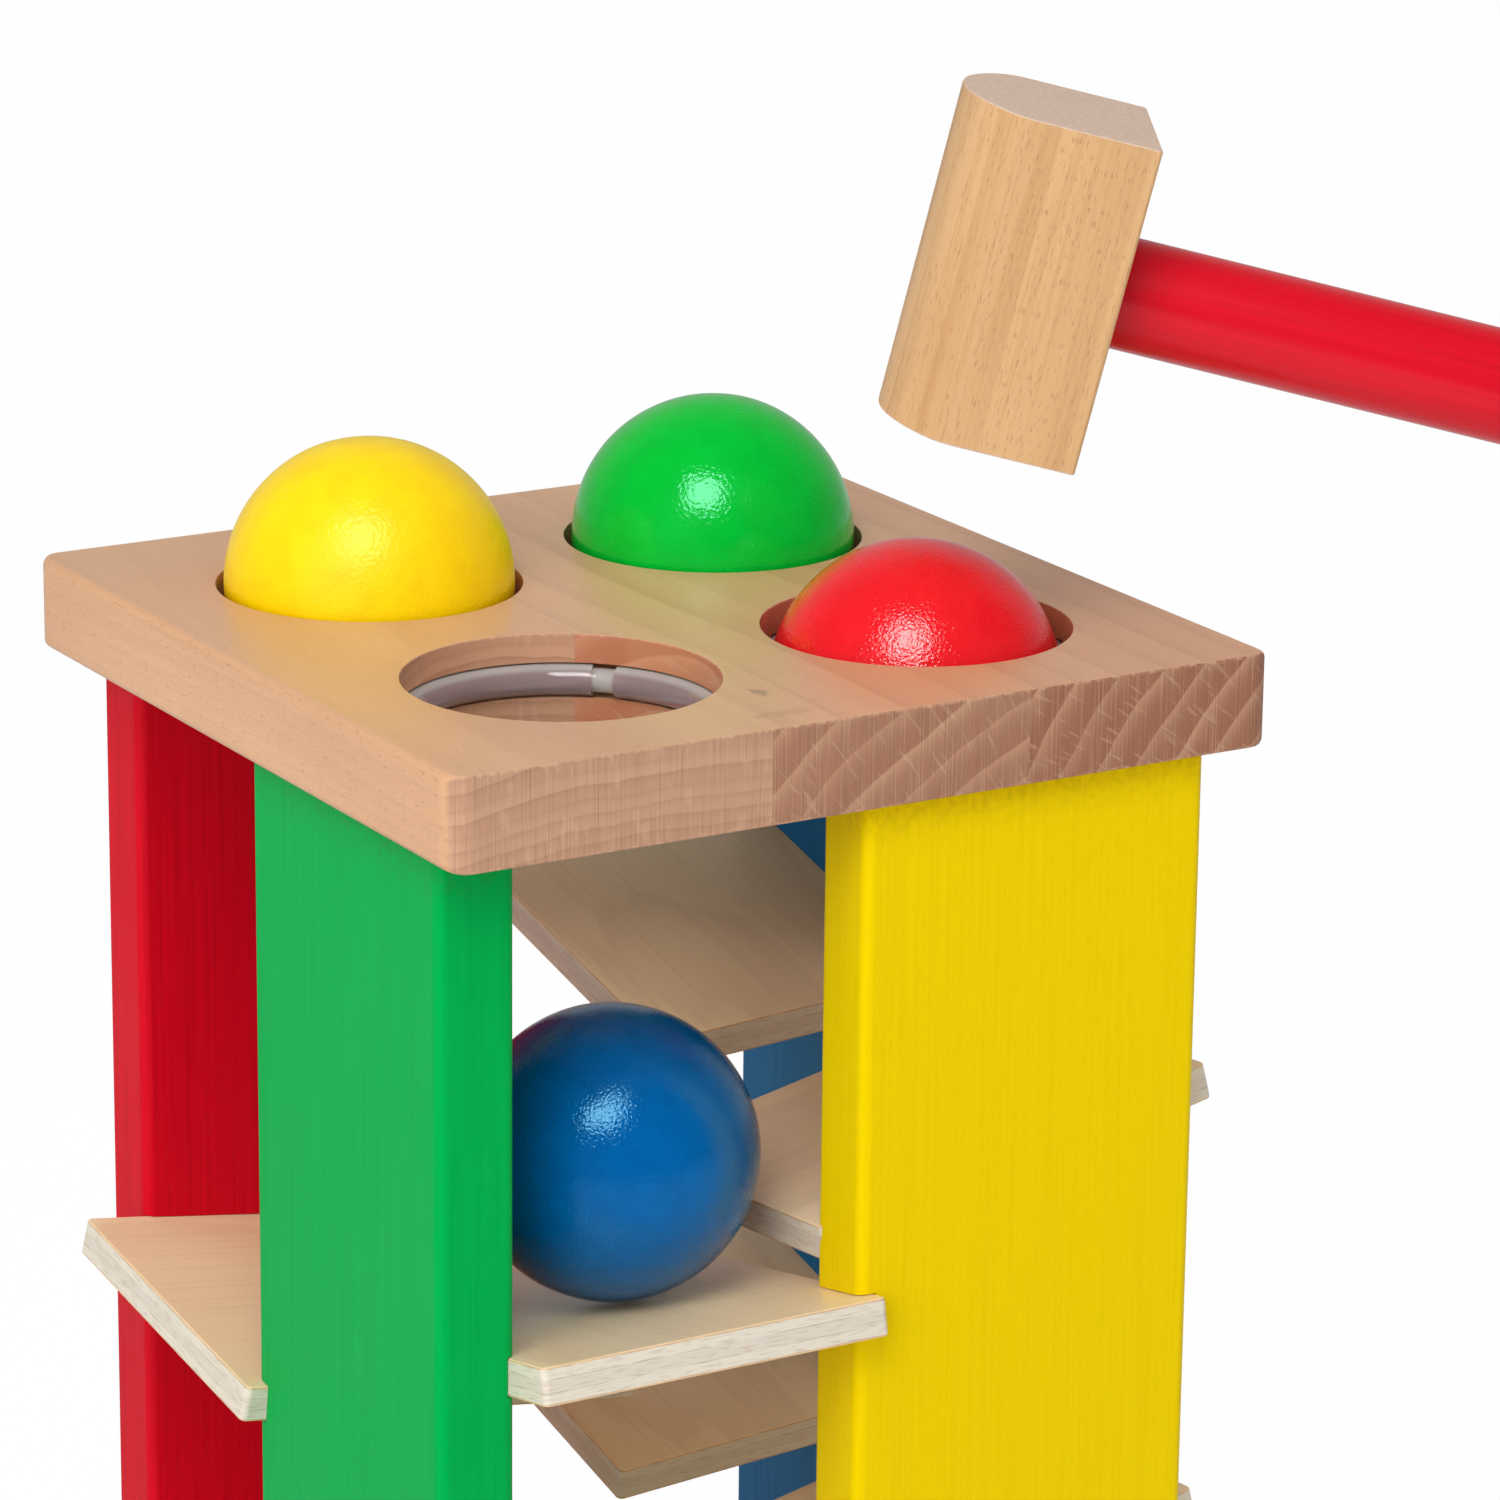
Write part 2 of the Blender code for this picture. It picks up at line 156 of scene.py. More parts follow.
# %% Top plate: one quarter, mirrored
plate_low, plate_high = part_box("top_plate")
ring_low, ring_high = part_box("ring_front_left")
PLATE_HALF = plate_high.x
PLATE_THICK = plate_high.z - plate_low.z
HOLE_OFFSET = abs(ring_low.x + ring_high.x) / 2
RING_HEIGHT = (ring_low.z + ring_high.z) / 2
HOLE_RADIUS = 26.25 * MM
HOLE_STEPS = 72
TOUCH = 0.01 * MM


def plate_sheet():
    """A flat sheet with four round holes."""
    bm = bmesh.new()
    hole_place = Matrix.Translation((HOLE_OFFSET, HOLE_OFFSET, 0))
    bmesh.ops.create_circle(bm, segments=HOLE_STEPS, radius=HOLE_RADIUS, matrix=hole_place)
    rim = set(bm.edges)
    corner = PLATE_HALF / 2
    square_place = Matrix.Translation((corner, corner, 0)) @ Matrix.Rotation(math.radians(45), 4, "Z")
    bmesh.ops.create_circle(bm, segments=4, radius=corner * math.sqrt(2), matrix=square_place)
    sides = [edge for edge in bm.edges if edge not in rim]
    bmesh.ops.subdivide_edges(bm, edges=sides, cuts=HOLE_STEPS // 4 - 1)
    bmesh.ops.bridge_loops(bm, edges=bm.edges[:])
    for axis in ("X", "Y"):
        everything = bm.verts[:] + bm.edges[:] + bm.faces[:]
        bmesh.ops.mirror(bm, geom=everything, matrix=Matrix.Identity(4), merge_dist=TOUCH, axis=axis)
    bmesh.ops.remove_doubles(bm, verts=bm.verts, dist=TOUCH)
    bmesh.ops.recalc_face_normals(bm, faces=bm.faces)
    return bm


top_sheet = plate_sheet()
print("sheet with holes:", len(top_sheet.faces), "faces")

# %% Top plate: thickness and rounded corners
CORNER_ROUND = 4.0 * MM
CORNER_STEPS = 6


def shift(bm, vec):
    """Move a whole bmesh."""
    bmesh.ops.translate(bm, verts=bm.verts, vec=vec)


def round_edges(bm, edges, radius, segments):
    """Bevel edges to a round of this radius."""
    bmesh.ops.bevel(
        bm, geom=list(edges), offset=radius, offset_type="OFFSET", segments=segments,
        profile=0.5, affect="EDGES", material=-1, clamp_overlap=True,
    )


def is_upright(edge):
    """True for an edge that runs along Z."""
    way = edge.verts[1].co - edge.verts[0].co
    return abs(way.z) > 0.99 * way.length


def at_corner(edge):
    """True for an edge at a corner of the plate."""
    return min(abs(edge.verts[0].co.x), abs(edge.verts[0].co.y)) > PLATE_HALF - TOUCH


bmesh.ops.solidify(top_sheet, geom=top_sheet.faces[:], thickness=PLATE_THICK)
shift(top_sheet, (0, 0, plate_low.z - min(v.co.z for v in top_sheet.verts)))
corners = [e for e in top_sheet.edges if is_upright(e) and at_corner(e)]
round_edges(top_sheet, corners, CORNER_ROUND, CORNER_STEPS)
print("rounded", len(corners), "corners of the top plate")

# %% Top plate: rounded edges
SIDE_ROUND = 1.6 * MM
SIDE_STEPS = 5


def at_height(edge, z):
    """True for an edge that lies in the plane of this height."""
    return all(abs(v.co.z - z) < TOUCH for v in edge.verts)


def on_outline(edge):
    """True for an edge on the plate's outer walls."""
    return all(max(abs(v.co.x), abs(v.co.y)) > PLATE_HALF - CORNER_ROUND - TOUCH for v in edge.verts)


def joins_wall_and_flat(edge):
    """True for an edge where an upright wall meets a flat side."""
    return len({abs(f.normal.z) > 0.5 for f in edge.link_faces}) == 2


flat_heights = (plate_low.z, plate_high.z)
outline = [e for e in top_sheet.edges if on_outline(e) and any(at_height(e, z) for z in flat_heights)]
outline = [e for e in outline if joins_wall_and_flat(e)]
round_edges(top_sheet, outline, SIDE_ROUND, SIDE_STEPS)
print("rounded", len(outline), "edge pieces of the top plate")

# %% Top plate: the sawn ends stay crisp
CRISP_ROUND = 0.3 * MM
ROUND_REACH = SIDE_ROUND * 1.01
UP = Vector((0, 0, 1))
plate_plank_height = (plate_low.z + plate_high.z) / 2


def outward(point):
    """Outward direction at the plate's outline, and how far inside the outline a point is."""
    inner = PLATE_HALF - CORNER_ROUND
    reach = Vector((max(abs(point.x) - inner, 0), max(abs(point.y) - inner, 0), 0))
    away = Vector((math.copysign(reach.x, point.x), math.copysign(reach.y, point.y), 0)).normalized()
    return away, CORNER_ROUND - reach.length


crisped = 0
for vertex in top_sheet.verts:
    away, inside = outward(vertex.co)
    upper = vertex.co.z > plate_plank_height
    below = plate_high.z - vertex.co.z if upper else vertex.co.z - plate_low.z
    if max(inside, below) < ROUND_REACH:
        soft = away.x ** 2
        keep = CRISP_ROUND / SIDE_ROUND * (1 - soft) + soft
        vertex.co += (away * inside + UP * (below if upper else -below)) * (1 - keep)
        crisped += 1
print("moved", crisped, "vertices of the rounds")

# %% Top plate: hole rims
RIM_ROUND = 0.35 * MM
RIM_STEPS = 2
WALL_TOUCH = 0.05 * MM


def hole_centre(point):
    """The point on the axis of the nearest ball hole, at the same height."""
    return Vector((math.copysign(HOLE_OFFSET, point.x), math.copysign(HOLE_OFFSET, point.y), point.z))


def on_hole_wall(part):
    """True if an edge or a face lies on the wall of a ball hole."""
    return all(abs((v.co - hole_centre(v.co)).length - HOLE_RADIUS) < WALL_TOUCH for v in part.verts)


rims = [e for e in top_sheet.edges if on_hole_wall(e) and not is_upright(e)]
round_edges(top_sheet, rims, RIM_ROUND, RIM_STEPS)
print("rounded", len(rims), "rim pieces of the ball holes")

# %% Top plate: ring grooves
GROOVE_RADIUS = 31.3 * MM
GROOVE_HALF = 3.0 * MM


def edges_of(faces):
    """Every edge of some faces, once, in a fixed order."""
    return list(dict.fromkeys(e for f in faces for e in f.edges))


def verts_of(faces):
    """Every vertex of some faces, once, in a fixed order."""
    return list(dict.fromkeys(v for f in faces for v in f.verts))


def verts_in(geom):
    """The vertices among the parts that an operator gives back."""
    return [part for part in geom if isinstance(part, bmesh.types.BMVert)]


def groove_faces(bm):
    """Faces of the hole walls between the two groove planes."""
    walls = [f for f in bm.faces if on_hole_wall(f)]
    return [f for f in walls if abs(f.calc_center_median().z - RING_HEIGHT) < GROOVE_HALF]


for z in (RING_HEIGHT - GROOVE_HALF, RING_HEIGHT + GROOVE_HALF):
    walls = [f for f in top_sheet.faces if on_hole_wall(f)]
    parts = walls + edges_of(walls) + verts_of(walls)
    bmesh.ops.bisect_plane(top_sheet, geom=parts, plane_co=(0, 0, z), plane_no=UP, dist=MERGE)
pushed = bmesh.ops.extrude_face_region(top_sheet, geom=groove_faces(top_sheet))["geom"]
for vertex in verts_in(pushed):
    centre = hole_centre(vertex.co)
    vertex.co = centre + (vertex.co - centre) * (GROOVE_RADIUS / HOLE_RADIUS)
bmesh.ops.delete(top_sheet, geom=groove_faces(top_sheet), context="FACES_ONLY")
plate_plank = Matrix.Translation((0, 0, plate_plank_height))
finish_piece("top_plate_piece", top_sheet, "tower", "beech", ["top_plate"], plate_plank, True)

# %% [markdown]
# A ramp is a small plywood board, let into the posts at a slant. Its plain solid already has the right
# size and tilt, so the board's own axes are measured from that solid: the two largest flat sides give
# the up direction, the next largest the side edges, and the third axis runs downhill.

# %% Measuring a tilted board
RAMPS = [f"ramp_{number}" for number in range(1, 9)]


def extent(points):
    """Lowest and highest corner round some points."""
    return tuple(Vector([pick(p[i] for p in points) for i in range(3)]) for pick in (min, max))


def axes_at(place, x, y, z):
    """Matrix that stands at a place with these three axes."""
    return Matrix.Translation(place) @ Matrix((x, y, z)).transposed().to_4x4()


def measured(node, axes):
    """Lowest and highest corner of a CAD node, along these axes."""
    return extent([axes.inverted() @ v.co for v in frame["nodes"][node].data.vertices])


def board_axes(node):
    """Matrix at a board's centre with Y downhill along it and Z up out of its face, and its size."""
    areas = {}
    for face in frame["nodes"][node].data.polygons:
        facing = tuple(round(v, 3) for v in face.normal)
        areas[facing] = areas.get(facing, 0.0) + face.area
    widest = sorted(areas, key=areas.get, reverse=True)
    up = Vector(max(widest[:2], key=lambda facing: facing[2])).normalized()
    side = next(Vector(facing) for facing in widest[2:] if abs(Vector(facing).dot(up)) < 0.01)
    along = up.cross(side).normalized()
    if along.z > 0:
        along = -along
    axes = axes_at((0, 0, 0), along.cross(up), along, up)
    low, high = measured(node, axes)
    return Matrix.Translation(axes @ ((low + high) / 2)) @ axes, high - low


ramp_boards = {node: board_axes(node) for node in RAMPS}
for node, (axes, size) in ramp_boards.items():
    fall = math.degrees(math.asin(-axes.col[1].z))
    print(node, "measures", in_mm(size), "mm and falls", round(fall, 1), "degrees")

# %% Ramps
RAMP_CORNER = 1.2 * MM
RAMP_RIM = 0.4 * MM


def turn_to(bm, matrix):
    """Carry a whole bmesh to the place and axes of a matrix."""
    bmesh.ops.transform(bm, matrix=matrix, verts=bm.verts)


def level_faces(bm):
    """Faces that look straight up or down."""
    return [f for f in bm.faces if abs(f.normal.z) > 0.9]


def board(size, corner, rim=0.0, segments=SIDE_STEPS):
    """A board centred on the origin, with rounded corners and softened rims."""
    bm = bmesh.new()
    bmesh.ops.create_cube(bm, size=1.0)
    bmesh.ops.scale(bm, verts=bm.verts, vec=size)
    round_edges(bm, [e for e in bm.edges if is_upright(e)], corner, segments)
    if rim:
        round_edges(bm, edges_of(level_faces(bm)), rim, RIM_STEPS)
    return bm


for node, (axes, size) in ramp_boards.items():
    ramp = board(size, RAMP_CORNER, RAMP_RIM)
    turn_to(ramp, axes)
    finish_piece(f"{node}_piece", ramp, "tower", "plywood", [node], axes, True)

# %% [markdown]
# A post is a flat painted board with rounded long edges, notched on its inner side for the ramps.
# The notches are cut with a Boolean: all eight ramps, a hair larger than life, are cut away from each
# post at once. A Boolean leaves many-sided faces, so weighted normals keep the flat sides even.

# %% Cutting one shape out of another
SLOT_PLAY = 0.15 * MM


def drop_object(thing):
    """Remove a passing object and its mesh."""
    mesh = thing.data
    bpy.data.objects.remove(thing)
    bpy.data.meshes.remove(mesh)


def from_meshes(meshes):
    """One bmesh of some passing meshes, which are then removed."""
    bm = bmesh.new()
    for mesh in meshes:
        bm.from_mesh(mesh)
        bpy.data.meshes.remove(mesh)
    return bm


def carve(bm, cutter_bm):
    """Cut the second closed shape out of the first."""
    blank = add_object("blank", to_mesh("blank", bm))
    cutter = add_object("cutter", to_mesh("cutter", cutter_bm))
    cut = blank.modifiers.new("cut", "BOOLEAN")
    cut.operation = "DIFFERENCE"
    cut.solver = "EXACT"
    cut.object = cutter
    carved = bpy.data.meshes.new_from_object(blank.evaluated_get(bpy.context.evaluated_depsgraph_get()))
    drop_object(blank)
    drop_object(cutter)
    return from_meshes([carved])


def ramp_slots():
    """All ramps as one shape, a hair larger than life."""
    slots = []
    for axes, size in ramp_boards.values():
        slot = board(size + Vector((SLOT_PLAY, SLOT_PLAY, SLOT_PLAY)) * 2, RAMP_CORNER)
        turn_to(slot, axes)
        slots.append(to_mesh("slot", slot))
    return from_meshes(slots)


print("slots are cut with", SLOT_PLAY / MM, "mm of play")

# %% Posts
POST_COLOURS = ["green", "red", "blue", "yellow"]
POST_ROUND = 2.0 * MM
for colour in POST_COLOURS:
    node = f"post_{colour}"
    low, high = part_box(node)
    size, middle = high - low, (low + high) / 2
    post = board(size, POST_ROUND)
    shift(post, middle)
    post = carve(post, ramp_slots())
    width = Vector((1, 0, 0)) if size.x > size.y else Vector((0, 1, 0))
    plank = axes_at(middle, width, UP, width.cross(UP))
    finish_piece(f"{node}_piece", post, "tower", f"{colour}_paint", [node], plank, True)

# %% [markdown]
# The base plate is a plain beech board like the top one, with countersunk screws from below. A screw
# is a lathe shape: one half outline, spun round its axis. The cross in its head is cut out of it, and
# the countersinks in the board are the same cone, a little larger.

# %% Base screws
SCREWS = [f"base_screw_{number}" for number in range(1, 9)]
HEAD_RADIUS = 4.0 * MM
HEAD_DEPTH = 2.4 * MM
HEAD_LIP = 0.2 * MM
SHANK_RADIUS = 2.0 * MM
SCREW_TIP = 4.0 * MM
RECESS_LENGTH = 4.4 * MM
RECESS_WIDTH = 1.0 * MM
RECESS_DEPTH = 1.6 * MM
RECESS_ROUND = 0.2 * MM
RECESS_TURNS = (30, 120)
LATHE_STEPS = 40


def spin_about(bm, geom, angle, steps, cent=(0, 0, 0), **merging):
    """Spin parts about an upright axis."""
    return bmesh.ops.spin(
        bm, geom=geom, cent=cent, axis=UP, dvec=(0, 0, 0), angle=angle, steps=steps, **merging,
    )["geom_last"]


def lathe(outline, steps=LATHE_STEPS):
    """Spin an outline of (radius, height) points round Z."""
    bm = bmesh.new()
    points = [bm.verts.new((radius, 0, height)) for radius, height in outline]
    edges = [bm.edges.new(pair) for pair in zip(points, points[1:])]
    spin_about(bm, points + edges, math.tau, steps, use_merge=True)
    bmesh.ops.remove_doubles(bm, verts=bm.verts, dist=MERGE)
    bmesh.ops.recalc_face_normals(bm, faces=bm.faces)
    return bm


def screw_shape(length):
    """A countersunk screw, head down at height zero, with a cross recess."""
    outline = [(0, 0), (HEAD_RADIUS - HEAD_LIP, 0), (HEAD_RADIUS, HEAD_LIP), (SHANK_RADIUS, HEAD_DEPTH)]
    screw = lathe(outline + [(SHANK_RADIUS, length - SCREW_TIP), (0, length)])
    recess_size = Vector((RECESS_LENGTH, RECESS_WIDTH, RECESS_DEPTH * 2))
    for turn in RECESS_TURNS:
        recess = board(recess_size, RECESS_ROUND, segments=RIM_STEPS)
        turn_to(recess, Matrix.Rotation(math.radians(turn), 4, "Z"))
        screw = carve(screw, recess)
    return screw


screw_places = {}
for node in SCREWS:
    low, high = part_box(node)
    screw_places[node] = Vector(((low.x + high.x) / 2, (low.y + high.y) / 2, low.z))
    screw = screw_shape(high.z - low.z)
    shift(screw, screw_places[node])
    finish_piece(f"{node}_piece", screw, "tower", "zinc_steel", [node])

# %% Base plate
SINK_PLAY = 0.25 * MM
SINK_RIM = 0.3 * MM
CUT_PAST = 1.0 * MM
STAVE_SHIFT = 13.0 * MM
base_low, base_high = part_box("base_plate")
base_size, base_middle = base_high - base_low, (base_low + base_high) / 2
wide, slim = HEAD_RADIUS + SINK_PLAY, SHANK_RADIUS + SINK_PLAY
cut_top = base_size.z + CUT_PAST
sink_outline = [(0, -CUT_PAST), (wide, -CUT_PAST), (wide, SINK_RIM)]
sink_outline += [(slim, HEAD_DEPTH + SINK_RIM), (slim, cut_top), (0, cut_top)]
base = board(base_size, CORNER_ROUND, SIDE_ROUND, CORNER_STEPS)
shift(base, base_middle)
for place in screw_places.values():
    sink = lathe(sink_outline)
    shift(sink, (place.x, place.y, base_low.z))
    base = carve(base, sink)
base_plank = Matrix.Translation(base_middle + Vector((STAVE_SHIFT, 0, 0)))
finish_piece("base_plate_piece", base, "tower", "beech", ["base_plate"], base_plank, True)

# %% [markdown]
# The balls are turned from wood, so none is a perfect sphere. An icosphere has even faces with no
# poles, and a slow noise moves its skin by a few hundredths of a millimetre, just enough to make the
# reflections swim as they do on a lacquered wooden ball.

# %% Balls
BALL_COLOURS = ["yellow", "green", "red", "blue"]
BALL_UNEVEN = 0.07 * MM
BALL_WAVES = 2.2
BALL_FINENESS = 6
SEED_STEP = 7
for number, colour in enumerate(BALL_COLOURS, 1):
    node = f"ball_{colour}"
    low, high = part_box(node)
    ball = bmesh.new()
    smallest = (high.z - low.z) / 2 - BALL_UNEVEN
    bmesh.ops.create_icosphere(ball, subdivisions=BALL_FINENESS, radius=smallest)
    seed = Vector((number * SEED_STEP, 0, 0))
    for vertex in ball.verts:
        facing = vertex.co.normalized()
        vertex.co += facing * BALL_UNEVEN * noise.noise(facing * BALL_WAVES + seed)
    shift(ball, (low + high) / 2)
    finish_piece(f"{node}_piece", ball, node, f"{colour}_ball_lacquer", [node])

# %% [markdown]
# A ring of clear soft tube lies in each groove and holds the ball until it is struck. It is a tube
# bent round and joined over a short thinner tube, so the outline that is spun is a hollow one: two
# circles, bridged into an annulus and swept almost all the way round. The short tube inside is the same
# sweep again over a few degrees, and shows in the gap between the two ends.

# %% Clear rings
RINGS = ["ring_front_left", "ring_back_left", "ring_back_right", "ring_front_right"]
TUBE_RADIUS = (ring_high.z - ring_low.z) / 2
TUBE_BORE = 2.1 * MM
PLUG_PLAY = 0.02 * MM
PLUG_WALL = 0.6 * MM
JOINT_GAP = 4.5
JOINT_PLACE = 45.0
PLUG_SPAN = 20.0
TUBE_STEPS = 24
RING_STEPS = 96
PLUG_STEPS = 12


def swept_tube(bm, radii, path_radius, start, span, steps):
    """Sweep a hollow outline about Z from one angle over a span, both in degrees."""
    facing = Matrix.Rotation(math.radians(start), 4, "Z") @ Matrix.Translation((path_radius, 0, 0))
    facing = facing @ Matrix.Rotation(math.radians(90), 4, "X")
    before = set(bm.edges)
    for radius in radii:
        bmesh.ops.create_circle(bm, segments=TUBE_STEPS, radius=radius, matrix=facing)
    faces = bmesh.ops.bridge_loops(bm, edges=[e for e in bm.edges if e not in before])["faces"]
    geom = verts_of(faces) + edges_of(faces) + faces
    spin_about(bm, geom, math.radians(span), steps, use_duplicate=False)


ring_paths = {}
for node in RINGS:
    low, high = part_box(node)
    path_radius = (high.x - low.x) / 2 - TUBE_RADIUS
    ring_paths[node] = path_radius
    ring = bmesh.new()
    tube_span = 360 - 2 * JOINT_GAP
    swept_tube(ring, (TUBE_RADIUS, TUBE_BORE), path_radius, JOINT_PLACE + JOINT_GAP, tube_span, RING_STEPS)
    plug = (TUBE_BORE - PLUG_PLAY, TUBE_BORE - PLUG_WALL)
    swept_tube(ring, plug, path_radius, JOINT_PLACE - PLUG_SPAN / 2, PLUG_SPAN, PLUG_STEPS)
    shift(ring, (low + high) / 2)
    finish_piece(f"{node}_piece", ring, "tower", "clear_plastic", [node])

# %% [markdown]
# The mallet head is a length of wood with one flat side, two straight sides and a crowned striking
# back. Its outline is drawn with a spun vertex for the crown and filled, then extruded along the head.
# The mallet hangs slanted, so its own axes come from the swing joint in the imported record.

# %% Mallet axes
MALLET_DROOP = math.radians(13.6)
swing = next(joint for joint in frame["joints"] if joint["name"] == "mallet_swing")
grip = Vector(swing["pos_m"])
across = Vector(swing["axis"])
along = across.cross(UP) * math.cos(MALLET_DROOP) - UP * math.sin(MALLET_DROOP)
upright = along.cross(across)
mallet = axes_at(grip, along, across, upright)
head_low, head_high = measured("mallet_head", mallet)
handle_low, handle_high = measured("mallet_handle", mallet)
print("mallet head in mm:", in_mm(head_high - head_low))

# %% Mallet head
CROWN_DEPTH = 9.5 * MM
CROWN_STEPS = 24
SIDE_CUTS = 11
SHOULDER = 2.5 * MM
SHOULDER_PASSES = 2
HEAD_EDGE = 0.7 * MM
HEAD_EDGE_STEPS = 3
HEAD_RIM = 0.35 * MM
SQUARE_ENOUGH = math.radians(60)


def head_outline(bm):
    """Closed outline of the mallet head, as one face."""
    half = (head_high.y - head_low.y) / 2
    spring = head_low.x + CROWN_DEPTH
    crown_radius = (half ** 2 + CROWN_DEPTH ** 2) / (2 * CROWN_DEPTH)
    near = bm.verts.new((head_high.x, -half, head_low.z))
    start = bm.verts.new((spring, -half, head_low.z))
    straight = [bm.edges.new((near, start))]
    crown_centre = (head_low.x + crown_radius, 0, head_low.z)
    swept = spin_about(bm, [start], -2 * math.asin(half / crown_radius), CROWN_STEPS, crown_centre)
    far = bm.verts.new((head_high.x, half, head_low.z))
    straight.append(bm.edges.new((verts_in(swept)[0], far)))
    bm.edges.new((far, near))
    bmesh.ops.subdivide_edges(bm, edges=straight, cuts=SIDE_CUTS)
    soft = [v for v in bm.verts if abs(v.co.x - spring) < SHOULDER]
    for step in range(SHOULDER_PASSES):
        bmesh.ops.smooth_vert(bm, verts=soft, factor=0.5, use_axis_x=True, use_axis_y=True, use_axis_z=True)
    return bmesh.ops.contextual_create(bm, geom=bm.edges[:])["faces"]


head = bmesh.new()
grown = bmesh.ops.extrude_face_region(head, geom=head_outline(head), use_keep_orig=True)["geom"]
bmesh.ops.translate(head, verts=verts_in(grown), vec=(0, 0, head_high.z - head_low.z))
bmesh.ops.recalc_face_normals(head, faces=head.faces)
square_edges = [e for e in head.edges if is_upright(e) and e.calc_face_angle(0) > SQUARE_ENOUGH]
round_edges(head, square_edges, HEAD_EDGE, HEAD_EDGE_STEPS)
round_edges(head, edges_of(level_faces(head)), HEAD_RIM, RIM_STEPS)
turn_to(head, mallet)
head_plank = axes_at(mallet @ ((head_low + head_high) / 2), along, upright, -across)
finish_piece("mallet_head_piece", head, "mallet", "mallet_wood", ["mallet_head"], head_plank, True)

# %% [markdown]
# The handle is a turned stick. An outline with a few rings along it is spun round its axis, and the
# rim of the free end is bevelled to the soft dome that a hand meets.

# %% Mallet handle
HANDLE_STEPS = 72
HANDLE_RINGS = 12
HANDLE_END_ROUND = 4.0 * MM
HANDLE_END_STEPS = 6
handle_radius = (handle_high.y - handle_low.y) / 2
reach = handle_high.x - handle_low.x


def on_end_rim(edge):
    """True for an edge on the rim of the handle's free end."""
    outside = all(v.co.xy.length > handle_radius - TOUCH for v in edge.verts)
    return outside and at_height(edge, handle_high.x)


stick = [(handle_radius, handle_low.x + reach * step / HANDLE_RINGS) for step in range(HANDLE_RINGS + 1)]
handle = lathe([(0, handle_low.x)] + stick + [(0, handle_high.x)], HANDLE_STEPS)
round_edges(handle, [e for e in handle.edges if on_end_rim(e)], HANDLE_END_ROUND, HANDLE_END_STEPS)
turn_to(handle, mallet @ Matrix.Rotation(math.radians(90), 4, "Y"))
handle_plank = axes_at(grip, upright, along, across)
finish_piece("mallet_handle_piece", handle, "mallet", "red_handle_lacquer", ["mallet_handle"], handle_plank)

# %% [markdown]
# Finishes are built from nodes. A few short helpers keep the trees readable: one for a sum, one for a
# soft step between two values, one for a blend of colours and one for a noise that is stretched along
# the grain. Colours are written as the eye reads them, in steps of 255, and turned to linear light.

# %% Node helpers
def tone(red, green, blue):
    """Linear colour of a colour that is read from a screen, in steps of 255."""
    shares = [step / 255 for step in (red, green, blue)]
    return (*[s / 12.92 if s <= 0.04045 else ((s + 0.055) / 1.055) ** 2.4 for s in shares], 1.0)


def feed(socket, value):
    """Link another socket in, or set a plain value."""
    if isinstance(value, bpy.types.NodeSocket):
        socket.id_data.links.new(value, socket)
    else:
        socket.default_value = value


def new_node(kind, entries, **settings):
    """A node in the tree of its entries, of which one at least is a socket."""
    tree = next(value.id_data for value in entries.values() if isinstance(value, bpy.types.NodeSocket))
    node = tree.nodes.new(kind)
    for setting, choice in settings.items():
        setattr(node, setting, choice)
    for socket, value in entries.items():
        feed(node.inputs[socket], value)
    return node


def calc(operation, *values):
    """One sum on values."""
    return new_node("ShaderNodeMath", dict(enumerate(values)), operation=operation).outputs[0]


def times(first, second):
    """Two values multiplied."""
    return calc("MULTIPLY", first, second)


def times_plus(first, second, third):
    """Two values multiplied, plus a third."""
    return calc("MULTIPLY_ADD", first, second, third)


def vector_calc(operation, *values):
    """One sum on places."""
    return new_node("ShaderNodeVectorMath", dict(enumerate(values)), operation=operation).outputs


def soft_step(value, low, high, first=0.0, last=1.0):
    """Go smoothly from the first value to the last between two limits."""
    entries = {"Value": value, "From Min": low, "From Max": high, "To Min": first, "To Max": last}
    return new_node("ShaderNodeMapRange", entries, interpolation_type="SMOOTHSTEP").outputs["Result"]


def blend(share, first, second):
    """Blend two colours."""
    return new_node("ShaderNodeMix", {0: share, 6: first, 7: second}, data_type="RGBA").outputs[2]


def stretched_noise(place, stretch, detail=2.0):
    """Noise whose grains per metre differ along X, Y and Z."""
    scaled = vector_calc("MULTIPLY", place, stretch)[0]
    return new_node("ShaderNodeTexNoise", {"Vector": scaled, "Scale": 1.0, "Detail": detail}).outputs[0]


def split(vector):
    """X, Y and Z of a place."""
    return new_node("ShaderNodeSeparateXYZ", {0: vector}).outputs


print("beech tone in linear light:", [round(v, 3) for v in tone(215, 180, 155)])

# %% [markdown]
# An effect that several finishes share becomes a node group: built once, with named inputs, and set
# differently in each finish. The first is the figure of timber. Growth rings are circles round the
# pith, somewhere outside the board, so the same rings make bands on an end and long stripes on a face.
# Rays fan out from the pith across the rings, and fine streaks and short dark flecks follow the grain.

# %% Shared effect: timber figure
VECTOR = "NodeSocketVector"
VALUE = "NodeSocketFloat"
DRIFT_GRAIN = (22, 9, 22)
WAVER_GRAIN = (150, 6, 150)
WAVER_SHARE = 0.16
LATE_POWER = 3.0
LATE_END = 0.93
CLOUD_GRAIN = (45, 9, 45)
STREAK_GRAIN = (1500, 24, 1500)
FLECK_GRAIN = (4000, 480, 4000)
RAYS_ROUND = 150.0
RAYS_OUT = 170.0
RAYS_ALONG = 30.0


